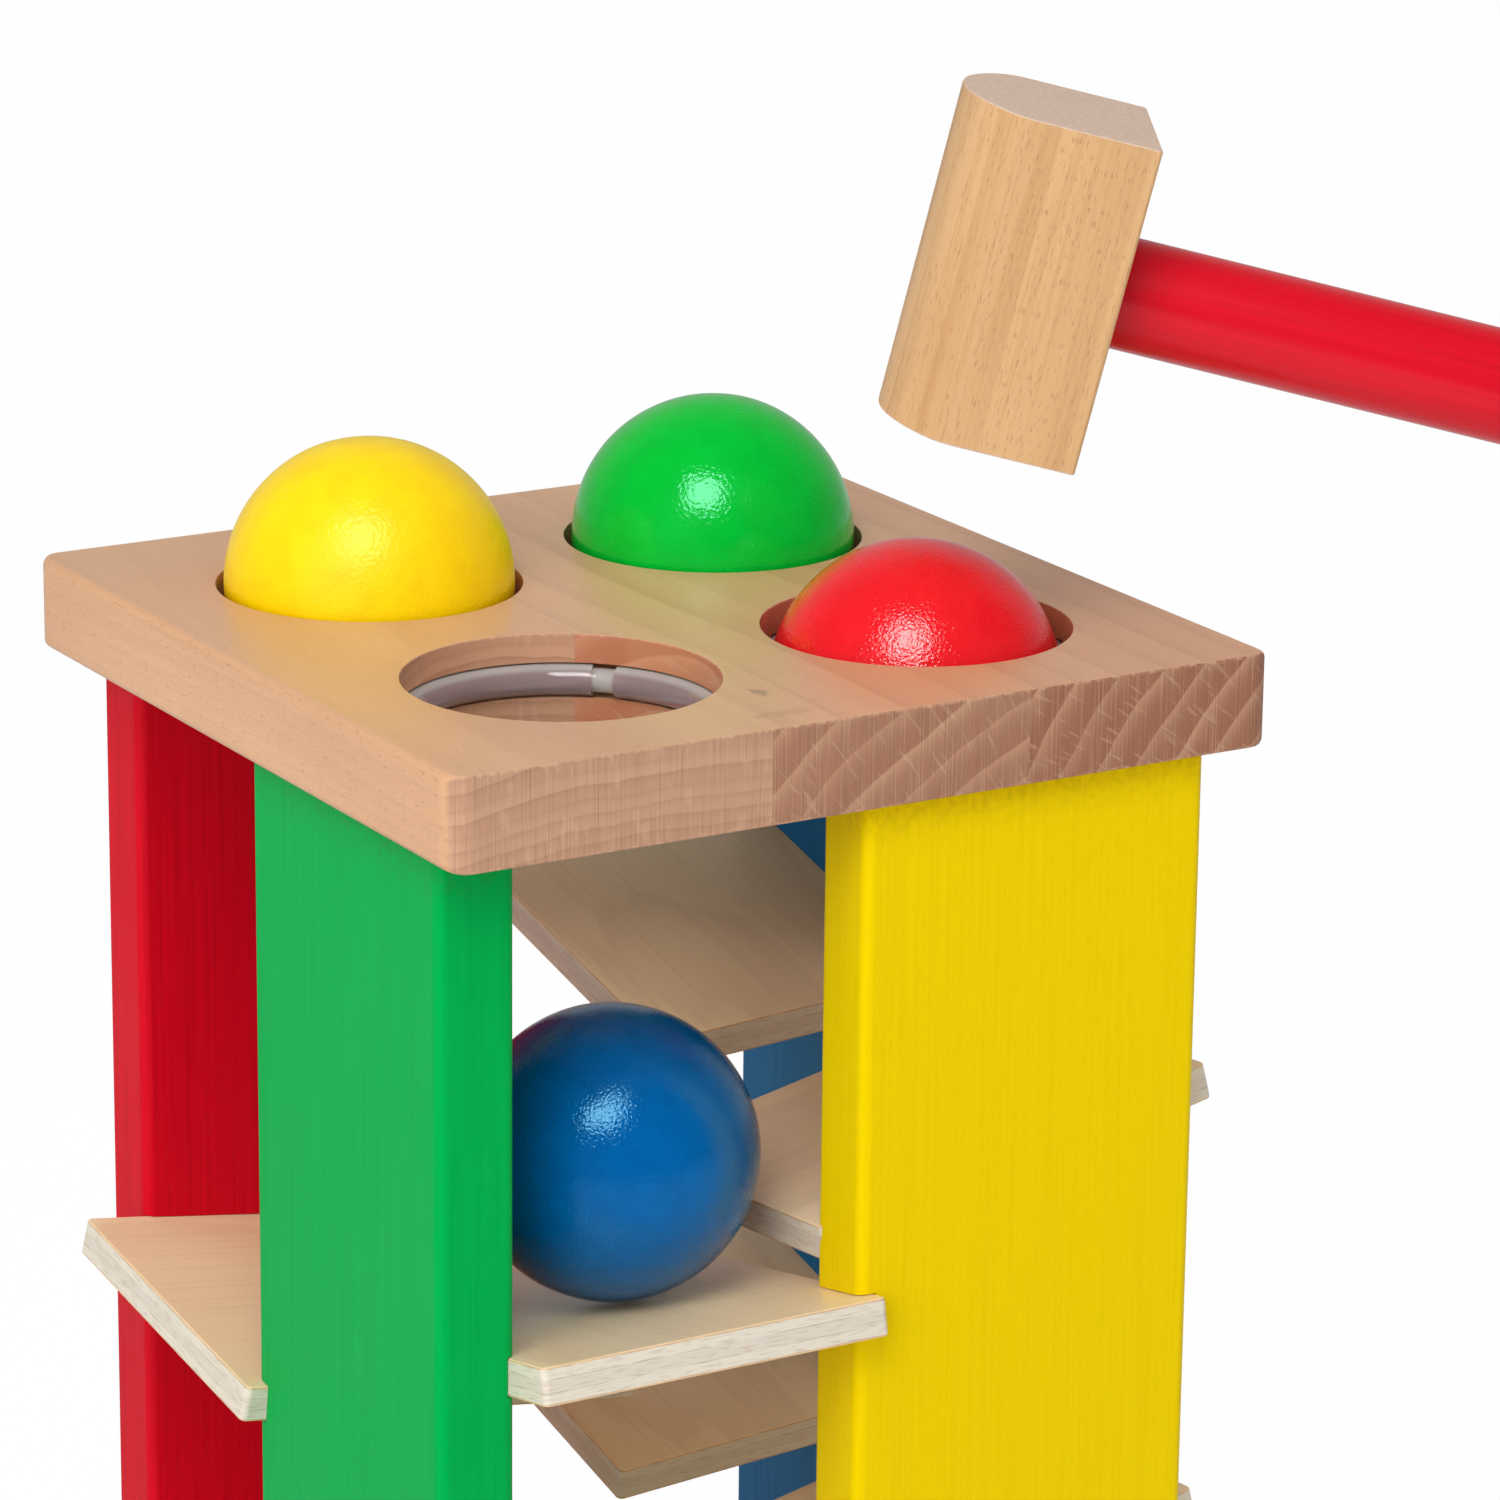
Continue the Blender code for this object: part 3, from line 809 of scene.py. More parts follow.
def new_effect(name, inputs, outputs):
    """An empty shader group with named sockets, and its two ends."""
    group = bpy.data.node_groups.new(name, "ShaderNodeTree")
    for title, kind in inputs.items():
        group.interface.new_socket(title, in_out="INPUT", socket_type=kind)
    for title in outputs:
        group.interface.new_socket(title, in_out="OUTPUT", socket_type=VALUE)
    return group, group.nodes.new("NodeGroupInput").outputs, group.nodes.new("NodeGroupOutput").inputs


def use_effect(group, **entries):
    """Place a shared effect in a finish, with its own values."""
    return new_node("ShaderNodeGroup", entries, node_tree=group).outputs


def timber_figure():
    """Growth rings, the tone of each year, rays, streaks, flecks and cloudiness; grain along Y."""
    inputs = {"place": VECTOR, "pith": VECTOR, "ring_gap": VALUE, "sway": VALUE}
    outputs = ["rings", "years", "rays", "streaks", "flecks", "cloud"]
    group, given, made = new_effect("timber_figure", inputs, outputs)
    place = given["place"]
    x, y, z = split(vector_calc("SUBTRACT", place, given["pith"])[0])
    radius = calc("SQRT", times_plus(x, x, times(z, z)))
    drift = calc("SUBTRACT", stretched_noise(place, DRIFT_GRAIN, 1.5), 0.5)
    waver = calc("SUBTRACT", stretched_noise(place, WAVER_GRAIN, 1.0), 0.5)
    swayed = times_plus(times_plus(waver, WAVER_SHARE, drift), given["sway"], radius)
    count = calc("DIVIDE", swayed, given["ring_gap"])
    phase = calc("FRACT", count)
    late = times(calc("POWER", phase, LATE_POWER), soft_step(phase, 1.0, LATE_END))
    cloud = stretched_noise(place, CLOUD_GRAIN)
    year = new_node("ShaderNodeTexWhiteNoise", {"W": calc("FLOOR", count)}, noise_dimensions="1D")
    turns = times(calc("ARCTAN2", x, z), RAYS_ROUND)
    fan = {"X": turns, "Y": times(radius, RAYS_OUT), "Z": times(y, RAYS_ALONG)}
    rays = stretched_noise(new_node("ShaderNodeCombineXYZ", fan).outputs[0], (1, 1, 1), 1.0)
    dashes = stretched_noise(place, FLECK_GRAIN, 0.0)
    feed(made["rings"], times(late, calc("ADD", cloud, 0.5)))
    feed(made["years"], year.outputs["Value"])
    feed(made["rays"], soft_step(rays, 0.60, 0.72))
    feed(made["streaks"], stretched_noise(place, STREAK_GRAIN, 3.0))
    feed(made["flecks"], soft_step(dashes, 0.67, 0.76))
    feed(made["cloud"], cloud)
    return group


timber = timber_figure()
print("timber figure gives", [item.name for item in timber.interface.items_tree if item.in_out == "OUTPUT"])

# %% [markdown]
# The second shared effect is what hands and the workshop leave: slow smudges that change the gloss,
# and small sparse nicks. The third is the skin of sprayed lacquer, a fine ripple that breaks up the
# highlight on the balls and the handle, and a slower swell.

# %% Shared effects: handling and lacquer skin
SMUDGE_GRAIN = (38, 38, 38)
NICK_GRAIN = (420, 210, 420)
SKIN_WAVES = {"ripple": 1.0, "swell": 0.14}
SKIN_DETAIL = 1.5


def handling_marks():
    """Slow smudges and sparse small nicks."""
    group, given, made = new_effect("handling_marks", {"place": VECTOR}, ["smudges", "nicks"])
    feed(made["smudges"], stretched_noise(given["place"], SMUDGE_GRAIN, 4.0))
    feed(made["nicks"], soft_step(stretched_noise(given["place"], NICK_GRAIN, 1.0), 0.76, 0.80))
    return group


def lacquer_skin():
    """Ripple and swell of sprayed lacquer, at a grain per metre."""
    group, given, made = new_effect("lacquer_skin", {"place": VECTOR, "grain": VALUE}, SKIN_WAVES)
    for title, share in SKIN_WAVES.items():
        scale = times(given["grain"], share)
        entries = {"Vector": given["place"], "Scale": scale, "Detail": SKIN_DETAIL}
        feed(made[title], new_node("ShaderNodeTexNoise", entries).outputs[0])
    return group


handling = handling_marks()
skin = lacquer_skin()
print("shared effects:", [group.name for group in bpy.data.node_groups])

# %% [markdown]
# Every finish starts with a Principled shader and the place in the plank, or Object coordinates where
# there is no grain to follow. A bump takes its height in metres, so a scratch of a tenth of a
# millimetre stays that deep.

# %% Starting a finish
finishes = {}


def coordinates(tree, title):
    """One kind of texture coordinates."""
    return tree.nodes.new("ShaderNodeTexCoord").outputs[title]


def new_finish(slot, on_plank=True):
    """A new material's Principled shader, and the place in the plank or in the object."""
    finish = bpy.data.materials.new(slot)
    finish.use_nodes = True
    finishes[slot] = finish
    tree = finish.node_tree
    shader = tree.nodes["Principled BSDF"]
    if not on_plank:
        return shader, coordinates(tree, "Object")
    place = tree.nodes.new("ShaderNodeAttribute")
    place.attribute_name = "plank_place"
    return shader, place.outputs["Vector"]


def timber_finish(slot, **growth):
    """A new finish on the plank, with the figure of its timber and the marks of handling."""
    shader, place = new_finish(slot)
    return shader, place, use_effect(timber, place=place, **growth), use_effect(handling, place=place)


def paint(shader, colour, rough, plain=None):
    """Give a shader its colour and roughness, and plain values for other sockets."""
    feed(shader.inputs["Base Color"], colour)
    feed(shader.inputs["Roughness"], rough)
    for title, value in (plain or {}).items():
        shader.inputs[title].default_value = value


def layered(colour, *layers):
    """Lay colours over a first one, each with the share that it covers."""
    for share, cover in layers:
        colour = blend(share, colour, cover)
    return colour


def bump(shader, height, depth, strength=1.0):
    """Bump the shader's normal by a height of 0 to 1 times a depth in metres."""
    entries = {"Height": height, "Distance": depth, "Strength": strength}
    feed(shader.inputs["Normal"], new_node("ShaderNodeBump", entries).outputs["Normal"])


print("slots to finish:", sorted(dressed))

# %% [markdown]
# Beech for the two plates. The board is glued from three staves. Each has its pith somewhere else, so
# the growth rings on the front end run at different slants, and the left stave is paler. A mask from
# the normal tells an end from a face: ends and bored holes are redder and show upright saw lines, faces
# show flecks.

# %% Beech
GLUE_LINE_LEFT = -19.4 * MM
GLUE_LINE_RIGHT = 29.1 * MM
PITH_LEFT = (-0.03, 0, -0.30)
PITH_MIDDLE = (0.075, 0, -0.098)
PITH_RIGHT = (0.127, 0, -0.053)
RING_GAP = 6.4 * MM
RING_GAP_LEFT = 2.3 * MM
BEECH_SWAY = 7.0 * MM
BORE_START = 2.0 * MM
BORE_FULL = 3.0 * MM
BORE_SHARE = 0.85


def blend_places(share, first, second):
    """Blend two places, which unlike colours may be negative."""
    return new_node("ShaderNodeMix", {0: share, 4: first, 5: second}, data_type="VECTOR").outputs[1]


shader, place = new_finish("beech")
x, y, z = split(place)
left_stave = calc("LESS_THAN", x, GLUE_LINE_LEFT)
right_stave = calc("GREATER_THAN", x, GLUE_LINE_RIGHT)
pith = blend_places(right_stave, blend_places(left_stave, PITH_MIDDLE, PITH_LEFT), PITH_RIGHT)
ring_gap = times_plus(left_stave, RING_GAP_LEFT - RING_GAP, RING_GAP)
figure = use_effect(timber, place=place, pith=pith, ring_gap=ring_gap, sway=BEECH_SWAY)
marks = use_effect(handling, place=place)
normal = split(coordinates(shader.id_data, "Normal"))
end = soft_step(calc("ABSOLUTE", normal["Y"]), 0.3, 0.65)
top = soft_step(calc("ABSOLUTE", normal["Z"]), 0.6, 0.9)
from_centre = calc("MAXIMUM", calc("ABSOLUTE", x), calc("ABSOLUTE", y))
inside = soft_step(from_centre, PLATE_HALF - BORE_START, PLATE_HALF - BORE_FULL)
bored = times(inside, calc("SUBTRACT", BORE_SHARE, top))
end = calc("MAXIMUM", end, bored)
board_colour = layered(
    tone(222, 174, 132),
    (soft_step(figure["cloud"], 0.3, 0.7), tone(212, 162, 121)),
    (times(figure["rings"], times_plus(left_stave, -0.2, 0.34)), tone(178, 124, 90)),
    (times(figure["years"], 0.14), tone(196, 140, 104)),
    (soft_step(figure["streaks"], 0.45, 0.85, 0.0, 0.2), tone(186, 134, 100)),
    (times(figure["flecks"], times_plus(top, -0.15, 0.34)), tone(146, 100, 70)),
)
print("beech faces use", len(shader.id_data.nodes), "nodes")

# %% Beech: the sawn ends
SAW_GRAIN = (3400, 40, 40)
SAW_SHARE = 0.42
TORN_GRAIN = (900, 900, 900)
FUZZ_START = 0.6 * MM
FUZZ_FULL = 0.2 * MM


def near_limit(value, limit, start, full, first=0.0, last=1.0):
    """Soft step of a value's size between two depths below a limit."""
    return soft_step(calc("ABSOLUTE", value), limit - start, limit - full, first, last)


saw = stretched_noise(place, SAW_GRAIN)
hatched = times_plus(bored, -1.1, 1.0)
heart = layered(
    tone(162, 112, 84),
    (right_stave, tone(152, 98, 70)),
    (left_stave, tone(196, 150, 119)),
    (bored, blend(left_stave, tone(194, 114, 76), tone(204, 152, 118))),
)
pale = layered(
    tone(198, 152, 120),
    (left_stave, tone(176, 130, 100)),
    (bored, blend(left_stave, tone(222, 158, 120), tone(178, 122, 90))),
)
end_colour = layered(
    heart,
    (times(figure["rings"], 0.8), pale),
    (times(figure["years"], 0.28), tone(146, 92, 66)),
    (times(figure["rays"], 0.3), tone(210, 168, 138)),
    (times(soft_step(saw, 0.50, 0.75, 0.0, SAW_SHARE), hatched), tone(210, 168, 136)),
    (times(soft_step(saw, 0.48, 0.25, 0.0, SAW_SHARE), hatched), tone(124, 80, 58)),
)
near_end = near_limit(y, PLATE_HALF, FUZZ_START, FUZZ_FULL)
near_flat = near_limit(z, PLATE_THICK / 2, FUZZ_START, FUZZ_FULL)
torn = soft_step(stretched_noise(place, TORN_GRAIN), 0.42, 0.7)
fuzz = times(times(calc("MAXIMUM", near_end, bored), near_flat), torn)
colour = layered(board_colour, (end, end_colour), (times(fuzz, 0.4), tone(228, 190, 156)))
print("with its ends it uses", len(shader.id_data.nodes), "nodes")

# %% Beech: two scuffs, gloss and relief
SCUFFS = {
    "bruise": (-10.6 * MM, -57.1 * MM, 1.5 * MM, 3.4 * MM, 0.45),
    "smear": (-13.0 * MM, -69.5 * MM, 7.5 * MM, 2.2 * MM, 0.16),
}
SCUFF_TONE = tone(96, 74, 66)
GRIT_GRAIN = (700, 240, 700)
RAGGED = 3.0
grit = calc("SUBTRACT", stretched_noise(place, GRIT_GRAIN), 0.5)
face_up = soft_step(normal["Z"], 0.5, 0.9)
for middle_x, middle_y, half_x, half_y, share in SCUFFS.values():
    across_it = calc("DIVIDE", calc("SUBTRACT", x, middle_x), half_x)
    along_it = calc("DIVIDE", calc("SUBTRACT", y, middle_y), half_y)
    away = times_plus(across_it, across_it, times(along_it, along_it))
    spot = times(soft_step(times_plus(grit, RAGGED, away), 1.0, 0.0), face_up)
    colour = blend(times(spot, share), colour, SCUFF_TONE)
rough = times_plus(end, 0.24, times_plus(marks["smudges"], 0.10, 0.26))
paint(shader, colour, rough, {"Specular IOR Level": 0.6})
fibres = calc("SUBTRACT", figure["streaks"], figure["flecks"])
relief = times(fibres, times_plus(end, -0.7, 1.0))
hatch = times(saw, times(end, hatched))
bump(shader, times_plus(hatch, 1.6, relief), 0.04 * MM, 0.5)
print("beech has", len(shader.id_data.nodes), "nodes")

# %% [markdown]
# The posts are brushed with opaque satin paint. The grain of the wood still shows through as faint
# upright streaks, in the colour and in the relief, and a few nicks let darker wood through. Just under
# the top plate the paint is darkened in speckles, partly grime and partly painted shade of the plate.
# The gloss varies with the smudges of hands.

# %% Post paints
PAINTS = {
    "green_paint": (tone(0, 168, 75), tone(0, 160, 70), (0.2, 1, 0.7, 1)),
    "red_paint": (tone(212, 2, 30), tone(196, 0, 25), (1, 1, 1, 1)),
    "blue_paint": (tone(34, 118, 178), tone(28, 108, 164), (1, 1, 1, 1)),
    "yellow_paint": (tone(236, 204, 0), tone(232, 198, 0), (1, 1, 0.2, 1)),
}
PAINT_GLOSS = 0.1
POST_PITH = (0.05, 0, 0.12)
SHADE_AND_GRIME_REACH = 10.0 * MM
SHADE_AND_GRIME_GRAIN = (800, 700, 800)
post_low, post_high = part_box("post_yellow")
post_half = (post_high.z - post_low.z) / 2
for slot, (fresh, wear_and_painted_sheen, tint) in PAINTS.items():
    shader, place, figure, marks = timber_finish(slot, pith=POST_PITH, ring_gap=4 * MM, sway=8 * MM)
    # Speckled darkening just under the top plate: partly grime, partly painted shade cast by the plate.
    near_top = soft_step(split(place)["Y"], post_half - SHADE_AND_GRIME_REACH, post_half)
    grime_and_shade = times(near_top, soft_step(stretched_noise(place, SHADE_AND_GRIME_GRAIN, 3.0), 0.36, 0.7))
    colour = layered(
        fresh,
        (soft_step(figure["streaks"], 0.35, 0.8), wear_and_painted_sheen),
        (times(figure["flecks"], 0.04), tone(60, 50, 20)),
        (times(marks["nicks"], 0.06), tone(90, 70, 30)),
        # painted shade of the top plate, mixed with grime
        (times(grime_and_shade, 0.16), tone(84, 62, 24)),
    )
    rough = times_plus(marks["smudges"], 0.2, 0.34)
    paint(shader, colour, rough, {"Specular IOR Level": PAINT_GLOSS, "Specular Tint": tint})
    relief = calc("SUBTRACT", figure["streaks"], times(figure["flecks"], 0.8))
    bump(shader, relief, 0.02 * MM, 0.5)
print("post paints:", sorted(PAINTS))

# %% [markdown]
# Plywood is five thin veneers glued crosswise. The height inside the board picks the veneer, so the
# cut edges show pale and tan layers with dark glue lines between, and the broad faces show one tan
# veneer with its grain running downhill.

# %% Plywood
PLY_HEART = 0.17
PLY_SKIN = 0.44
GLUE_HALF = 0.006
GLUE_FADE = 0.016
EDGE_START = 0.25 * MM
EDGE_FULL = 0.1 * MM
PLY_PITH = (0.01, 0, -0.06)
PORE_GRAIN = (300, 300, 3000)
PATCH_GRAIN = (160, 160, 300)
RAMP_THICK = ramp_boards[RAMPS[0]][1].z
shader, place, figure, marks = timber_finish("plywood", pith=PLY_PITH, ring_gap=9 * MM, sway=20 * MM)
z = split(place)["Z"]
from_middle = calc("DIVIDE", calc("ABSOLUTE", z), RAMP_THICK)


def glue_line(height):
    """1 on a glue line at this height, a share of the thickness from the middle, and 0 off it."""
    away = calc("ABSOLUTE", calc("SUBTRACT", from_middle, height))
    return soft_step(away, GLUE_HALF, GLUE_FADE, 1.0, 0.0)


edge = near_limit(z, RAMP_THICK / 2, EDGE_START, EDGE_FULL, 1.0, 0.0)
speckle = stretched_noise(place, PORE_GRAIN, 3.0)
patchy = soft_step(stretched_noise(place, PATCH_GRAIN), 0.40, 0.62)
glue = times(calc("MAXIMUM", glue_line(PLY_HEART), glue_line(PLY_SKIN)), patchy)
layers = layered(
    tone(222, 213, 196),
    (calc("LESS_THAN", from_middle, PLY_HEART), tone(216, 205, 190)),
    (calc("GREATER_THAN", from_middle, PLY_SKIN), tone(222, 182, 132)),
    (soft_step(speckle, 0.48, 0.70, 0.0, 0.5), tone(188, 168, 150)),
    (times(glue, 0.55), tone(164, 132, 116)),
)
veneer = layered(
    tone(255, 229, 186),
    (figure["cloud"], tone(247, 216, 173)),
    (times(figure["rings"], 0.25), tone(206, 164, 126)),
    (soft_step(figure["streaks"], 0.45, 0.8, 0.0, 0.25), tone(206, 166, 130)),
)
rough = times_plus(marks["smudges"], 0.10, times_plus(edge, 0.3, 0.26))
paint(shader, blend(edge, veneer, layers), rough)
bump(shader, blend(edge, figure["streaks"], speckle), 0.06 * MM, 0.5)
print("plywood has", len(shader.id_data.nodes), "nodes")

# %% [markdown]
# The balls are sprayed with lacquer. The ripple of the skin breaks the highlight into sparkles. Red
# and blue are glossy, green is softer and yellow the mattest, so each colour sets its own gloss, and
# the grain and depth of its ripple.

# %% Ball lacquers
BALL_LACQUERS = {
    "yellow_ball_lacquer": (tone(254, 216, 0), tone(251, 209, 0), 0.33, 1300.0, 0.12, 0.35, (1, 1, 0.6, 1)),
    "green_ball_lacquer": (tone(0, 190, 52), tone(0, 185, 49), 0.15, 1500.0, 0.09, 0.45, (0.45, 1, 0.9, 1)),
    "red_ball_lacquer": (tone(234, 26, 36), tone(230, 22, 33), 0.12, 1800.0, 0.14, 0.5, (1, 1, 1, 1)),
    "blue_ball_lacquer": (tone(0, 94, 165), tone(0, 90, 159), 0.08, 2000.0, 0.09, 0.5, (0.3, 0.8, 1, 1)),
}
SMUDGE_SPREAD = 0.12
for slot, (bright, deep, gloss, grain, depth, shine, tint) in BALL_LACQUERS.items():
    shader, place = new_finish(slot, on_plank=False)
    coat = use_effect(skin, place=place, grain=grain)
    marks = use_effect(handling, place=place)
    colour = blend(soft_step(coat["swell"], 0.35, 0.7), bright, deep)
    rough = times_plus(marks["smudges"], SMUDGE_SPREAD, gloss - SMUDGE_SPREAD / 2)
    paint(shader, colour, rough, {"Specular IOR Level": shine, "Specular Tint": tint})
    bump(shader, times_plus(coat["swell"], 0.4, coat["ripple"]), depth * MM)
print("ball lacquers:", sorted(BALL_LACQUERS))

# %% [markdown]
# The rings are soft plastic tube. Most of the light passes through it and the rest is scattered at the
# surface. A paler band along its upper edge is a painted reflection of the bright room above, and a
# paler patch at its joint is a painted glint. A slow noise in the roughness gives it its used, hazy
# look. The joint has the same place in each ring, so coordinates that are wrapped from hole to hole
# find all four at once.

# %% Clear plastic
SHEEN_START = 0.55
SHEEN_FULL = 0.85
JOINT_GLINT_FULL = 3.0 * MM
JOINT_GLINT_END = 4.5 * MM
shader, place = new_finish("clear_plastic", on_plank=False)
marks = use_effect(handling, place=place)
# The tube is painted paler along its upper edge, a painted reflection of the bright room above.
sheen_low, sheen_high = (RING_HEIGHT + share * TUBE_RADIUS for share in (SHEEN_START, SHEEN_FULL))
wear_and_painted_sheen = soft_step(split(place)["Z"], sheen_low, sheen_high)
in_ring = vector_calc("WRAP", place, (2 * HOLE_OFFSET, 2 * HOLE_OFFSET, 1), (0, 0, 0))[0]
widest = max(ring_paths.values())
joint_turn = math.radians(JOINT_PLACE)
joint_x, joint_y = (HOLE_OFFSET + widest * way(joint_turn) for way in (math.cos, math.sin))
from_joint = vector_calc("DISTANCE", in_ring, (joint_x, joint_y, RING_HEIGHT))["Value"]
# The joint is painted paler, a painted glint of light refracted through the tube ends and plug.
painted_joint_glint = soft_step(from_joint, JOINT_GLINT_FULL, JOINT_GLINT_END, 1.0, 0.0)
clear = blend(marks["smudges"], tone(212, 188, 190), tone(200, 176, 178))
# The pale colour is a painted reflection along the top and a painted glint at the joint.
colour = blend(calc("MAXIMUM", wear_and_painted_sheen, painted_joint_glint), clear, tone(246, 240, 236))
rough = soft_step(marks["smudges"], 0.3, 0.7, 0.05, 0.11)
paint(shader, colour, rough, {"Transmission Weight": 0.65, "IOR": 1.42})
print("clear plastic has", len(shader.id_data.nodes), "nodes")

# %% [markdown]
# The mallet head is yellower wood with many short dark flecks along its length. Its sawn ends are pale,
# matte and slightly pink. The handle is dipped in glossy red lacquer.

# %% Mallet wood
HEAD_PITH = (-0.03, 0, 0.09)
SAWN_START = 0.4 * MM
SAWN_FULL = 0.1 * MM
FIBRE_GRAIN = (1500, 1500, 1500)
head_half = (head_high.z - head_low.z) / 2
shader, place, figure, marks = timber_finish("mallet_wood", pith=HEAD_PITH, ring_gap=7 * MM, sway=5 * MM)
end = near_limit(split(place)["Y"], head_half, SAWN_START, SAWN_FULL)
fibre = stretched_noise(place, FIBRE_GRAIN)
sawn = blend(soft_step(fibre, 0.35, 0.7), tone(214, 188, 168), tone(206, 176, 155))
colour = layered(
    tone(219, 176, 126),
    (soft_step(figure["cloud"], 0.3, 0.7), tone(205, 161, 110)),
    (times(figure["rings"], 0.45), tone(186, 138, 88)),
    (soft_step(figure["streaks"], 0.42, 0.75, 0.0, 0.5), tone(188, 140, 88)),
    (times(figure["flecks"], 0.4), tone(160, 102, 54)),
    (end, sawn),
)
rough = times_plus(end, 0.4, times_plus(marks["smudges"], 0.15, 0.34))
paint(shader, colour, rough)
fibres = calc("SUBTRACT", figure["streaks"], figure["flecks"])
relief = times(fibres, calc("SUBTRACT", 1.0, end))
bump(shader, times_plus(times(fibre, end), 1.4, relief), 0.06 * MM, 0.6)
print("mallet wood has", len(shader.id_data.nodes), "nodes")

# %% Handle lacquer
HANDLE_PITH = (0, 0, 0.05)
handle_growth = {"pith": HANDLE_PITH, "ring_gap": 5 * MM, "sway": 6 * MM}
shader, place, figure, marks = timber_finish("red_handle_lacquer", **handle_growth)
coat = use_effect(skin, place=place, grain=520.0)
colour = blend(soft_step(figure["streaks"], 0.35, 0.75), tone(214, 8, 32), tone(204, 4, 28))
rough = times_plus(marks["smudges"], 0.10, 0.17)
paint(shader, colour, rough, {"Specular IOR Level": 0.35})
bump(shader, times_plus(figure["streaks"], 0.4, coat["ripple"]), 0.03 * MM, 0.6)
print("handle lacquer has", len(shader.id_data.nodes), "nodes")

# %% [markdown]
# Two finishes are hardly seen: the zinc of the base screws, with a cloudy, slightly yellow sheen, and
# the raw wood of the dowels inside the joints.

# %% Zinc and dowel wood
DOWEL_PITH = (0.02, 0, 0.05)
shader, place = new_finish("zinc_steel", on_plank=False)
smudges = use_effect(handling, place=place)["smudges"]
colour = blend(smudges, tone(196, 194, 184), tone(170, 172, 172))
paint(shader, colour, soft_step(smudges, 0.3, 0.7, 0.30, 0.44), {"Metallic": 1.0})
shader, place = new_finish("dowel_wood", on_plank=False)
lying = {"Vector": place, "Rotation": (math.radians(90), 0, 0)}
turned = new_node("ShaderNodeMapping", lying).outputs[0]
streaks = use_effect(timber, place=turned, pith=DOWEL_PITH, ring_gap=3 * MM, sway=4 * MM)["streaks"]
colour = blend(soft_step(streaks, 0.35, 0.75), tone(224, 192, 152), tone(198, 160, 118))
paint(shader, colour, soft_step(streaks, 0.3, 0.7, 0.55, 0.7))
print("all finishes:", sorted(finishes))

# %% [markdown]
# Each new piece takes the finish of its slot. A dowel is a plain round peg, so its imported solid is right
# as it is: it stays, and only its material changes.

# %% Dressing the pieces
DOWELS = [f"dowel_{number}" for number in range(1, 9)]
for slot, pieces in dressed.items():
    for piece in pieces:
        piece.data.materials.append(finishes[slot])
for node in DOWELS:
    frame["nodes"][node].material_slots[0].material = finishes["dowel_wood"]
print("dressed", sum(len(pieces) for pieces in dressed.values()), "pieces")

# %% [markdown]
# The studio is white all round. One large soft lamp stands high, a little left of the camera. A glint
# lamp in front of it shows in reflections alone, and puts the small square highlights on the balls.
# Two wide lamps open the shaded sides and stay out of the reflections, as a flag in front of them would
# do. The world is white to the camera, dimmer as a light and dark in reflections, so that the lacquers
# keep their colour. The floor is white but keeps a trace of the shadow.

# %% Lamps
AIM = Vector((0, 0, 0.2))
LAMPS = {
    "key": (-40, 50, 1.5, 0.70, 8.8, True, True),
    "glint": (-40, 50, 1.4, 0.65, 10.0, False, True),
    "left_fill": (-60, 20, 1.6, 1.3, 12.0, True, False),
    "right_fill": (60, 30, 1.8, 1.2, 2.0, True, False),
}
for name, (azimuth, elevation, distance, size, power, lights, mirrored) in LAMPS.items():
    lamp = bpy.data.lights.new(name, "AREA")
    lamp.size = size
    lamp.energy = power
    holder = add_object(name, lamp)
    holder.visible_diffuse = lights
    holder.visible_glossy = mirrored
    out = direction(azimuth, elevation)
    holder.location = AIM + out * distance
    holder.rotation_euler = out.to_track_quat("Z", "Y").to_euler()
print("lamps:", sorted(LAMPS))

# %% White world
WORLD_LIGHT = 0.55
DARK_BEHIND = 0.56
DARK_ROOM = 0.92


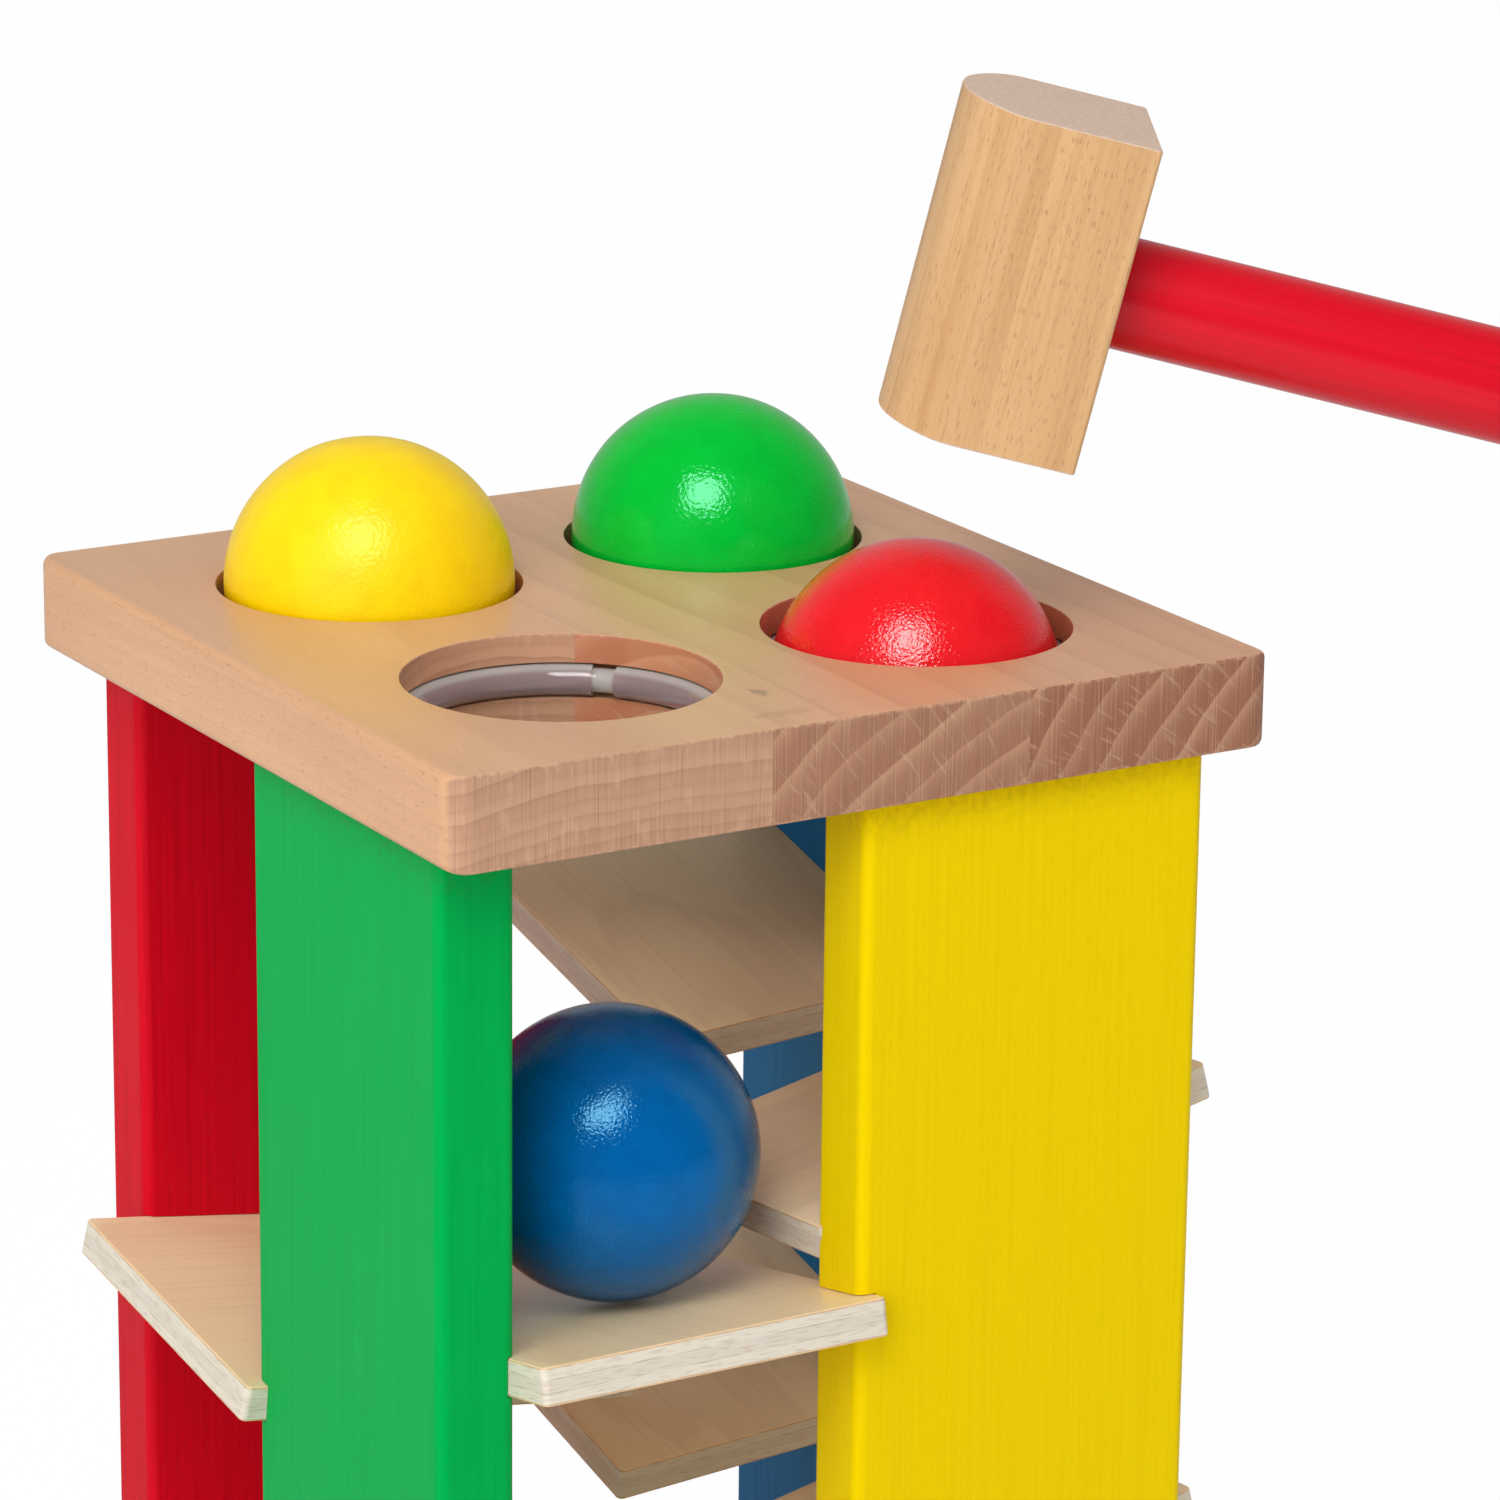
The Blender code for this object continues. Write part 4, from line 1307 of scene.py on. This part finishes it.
def seen_directly(path):
    """1 for rays of the camera, of reflections and of clear plastic, 0 for light that falls on things."""
    glossy = calc("MAXIMUM", path["Is Camera Ray"], path["Is Glossy Ray"])
    return calc("MAXIMUM", glossy, path["Is Transmission Ray"])


world = bpy.data.worlds.new("white_studio")
bpy.context.scene.world = world
world.use_nodes = True
nodes = world.node_tree.nodes
sky = nodes["Background"]
sky.inputs["Color"].default_value = (1, 1, 1, 1)
path = nodes.new("ShaderNodeLightPath").outputs
towards = vector_calc("DOT_PRODUCT", coordinates(world.node_tree, "Generated"), to_camera)["Value"]
dark_room = times(soft_step(towards, -0.9, 0.2, DARK_BEHIND, DARK_ROOM), path["Is Glossy Ray"])
bright = soft_step(seen_directly(path), 0.0, 1.0, WORLD_LIGHT, 1.0)
feed(sky.inputs["Strength"], calc("SUBTRACT", bright, dark_room))
bpy.context.scene.view_settings.view_transform = "Standard"
print("world light", WORLD_LIGHT)

# %% White floor
FLOOR_SIZE = 3.0
FLOOR_PARTS = 8
FLOOR_TONE = (0.75, 0.75, 0.75, 1)
FLOOR_ROUGH = 0.9
FLOOR_SHARE = 0.93
FLOOR_GLOW = 1.03
FLOOR_IN_MIRRORS = 0.6
floor_bm = bmesh.new()
bmesh.ops.create_grid(floor_bm, x_segments=FLOOR_PARTS, y_segments=FLOOR_PARTS, size=FLOOR_SIZE)
studio_floor = add_object("floor", to_mesh("floor", floor_bm))
paper = bpy.data.materials.new("paper")
paper.use_nodes = True
nodes = paper.node_tree.nodes
matte = nodes["Principled BSDF"]
matte.inputs["Base Color"].default_value = FLOOR_TONE
matte.inputs["Roughness"].default_value = FLOOR_ROUGH
path = nodes.new("ShaderNodeLightPath").outputs
strength = soft_step(path["Is Glossy Ray"], 0.0, 1.0, FLOOR_GLOW, FLOOR_IN_MIRRORS)
glow = new_node("ShaderNodeEmission", {"Strength": strength})
layers = {0: times(seen_directly(path), FLOOR_SHARE), 1: matte.outputs[0], 2: glow.outputs[0]}
feed(nodes["Material Output"].inputs["Surface"], new_node("ShaderNodeMixShader", layers).outputs[0])
studio_floor.data.materials.append(paper)
print("floor is", 2 * FLOOR_SIZE, "m wide")
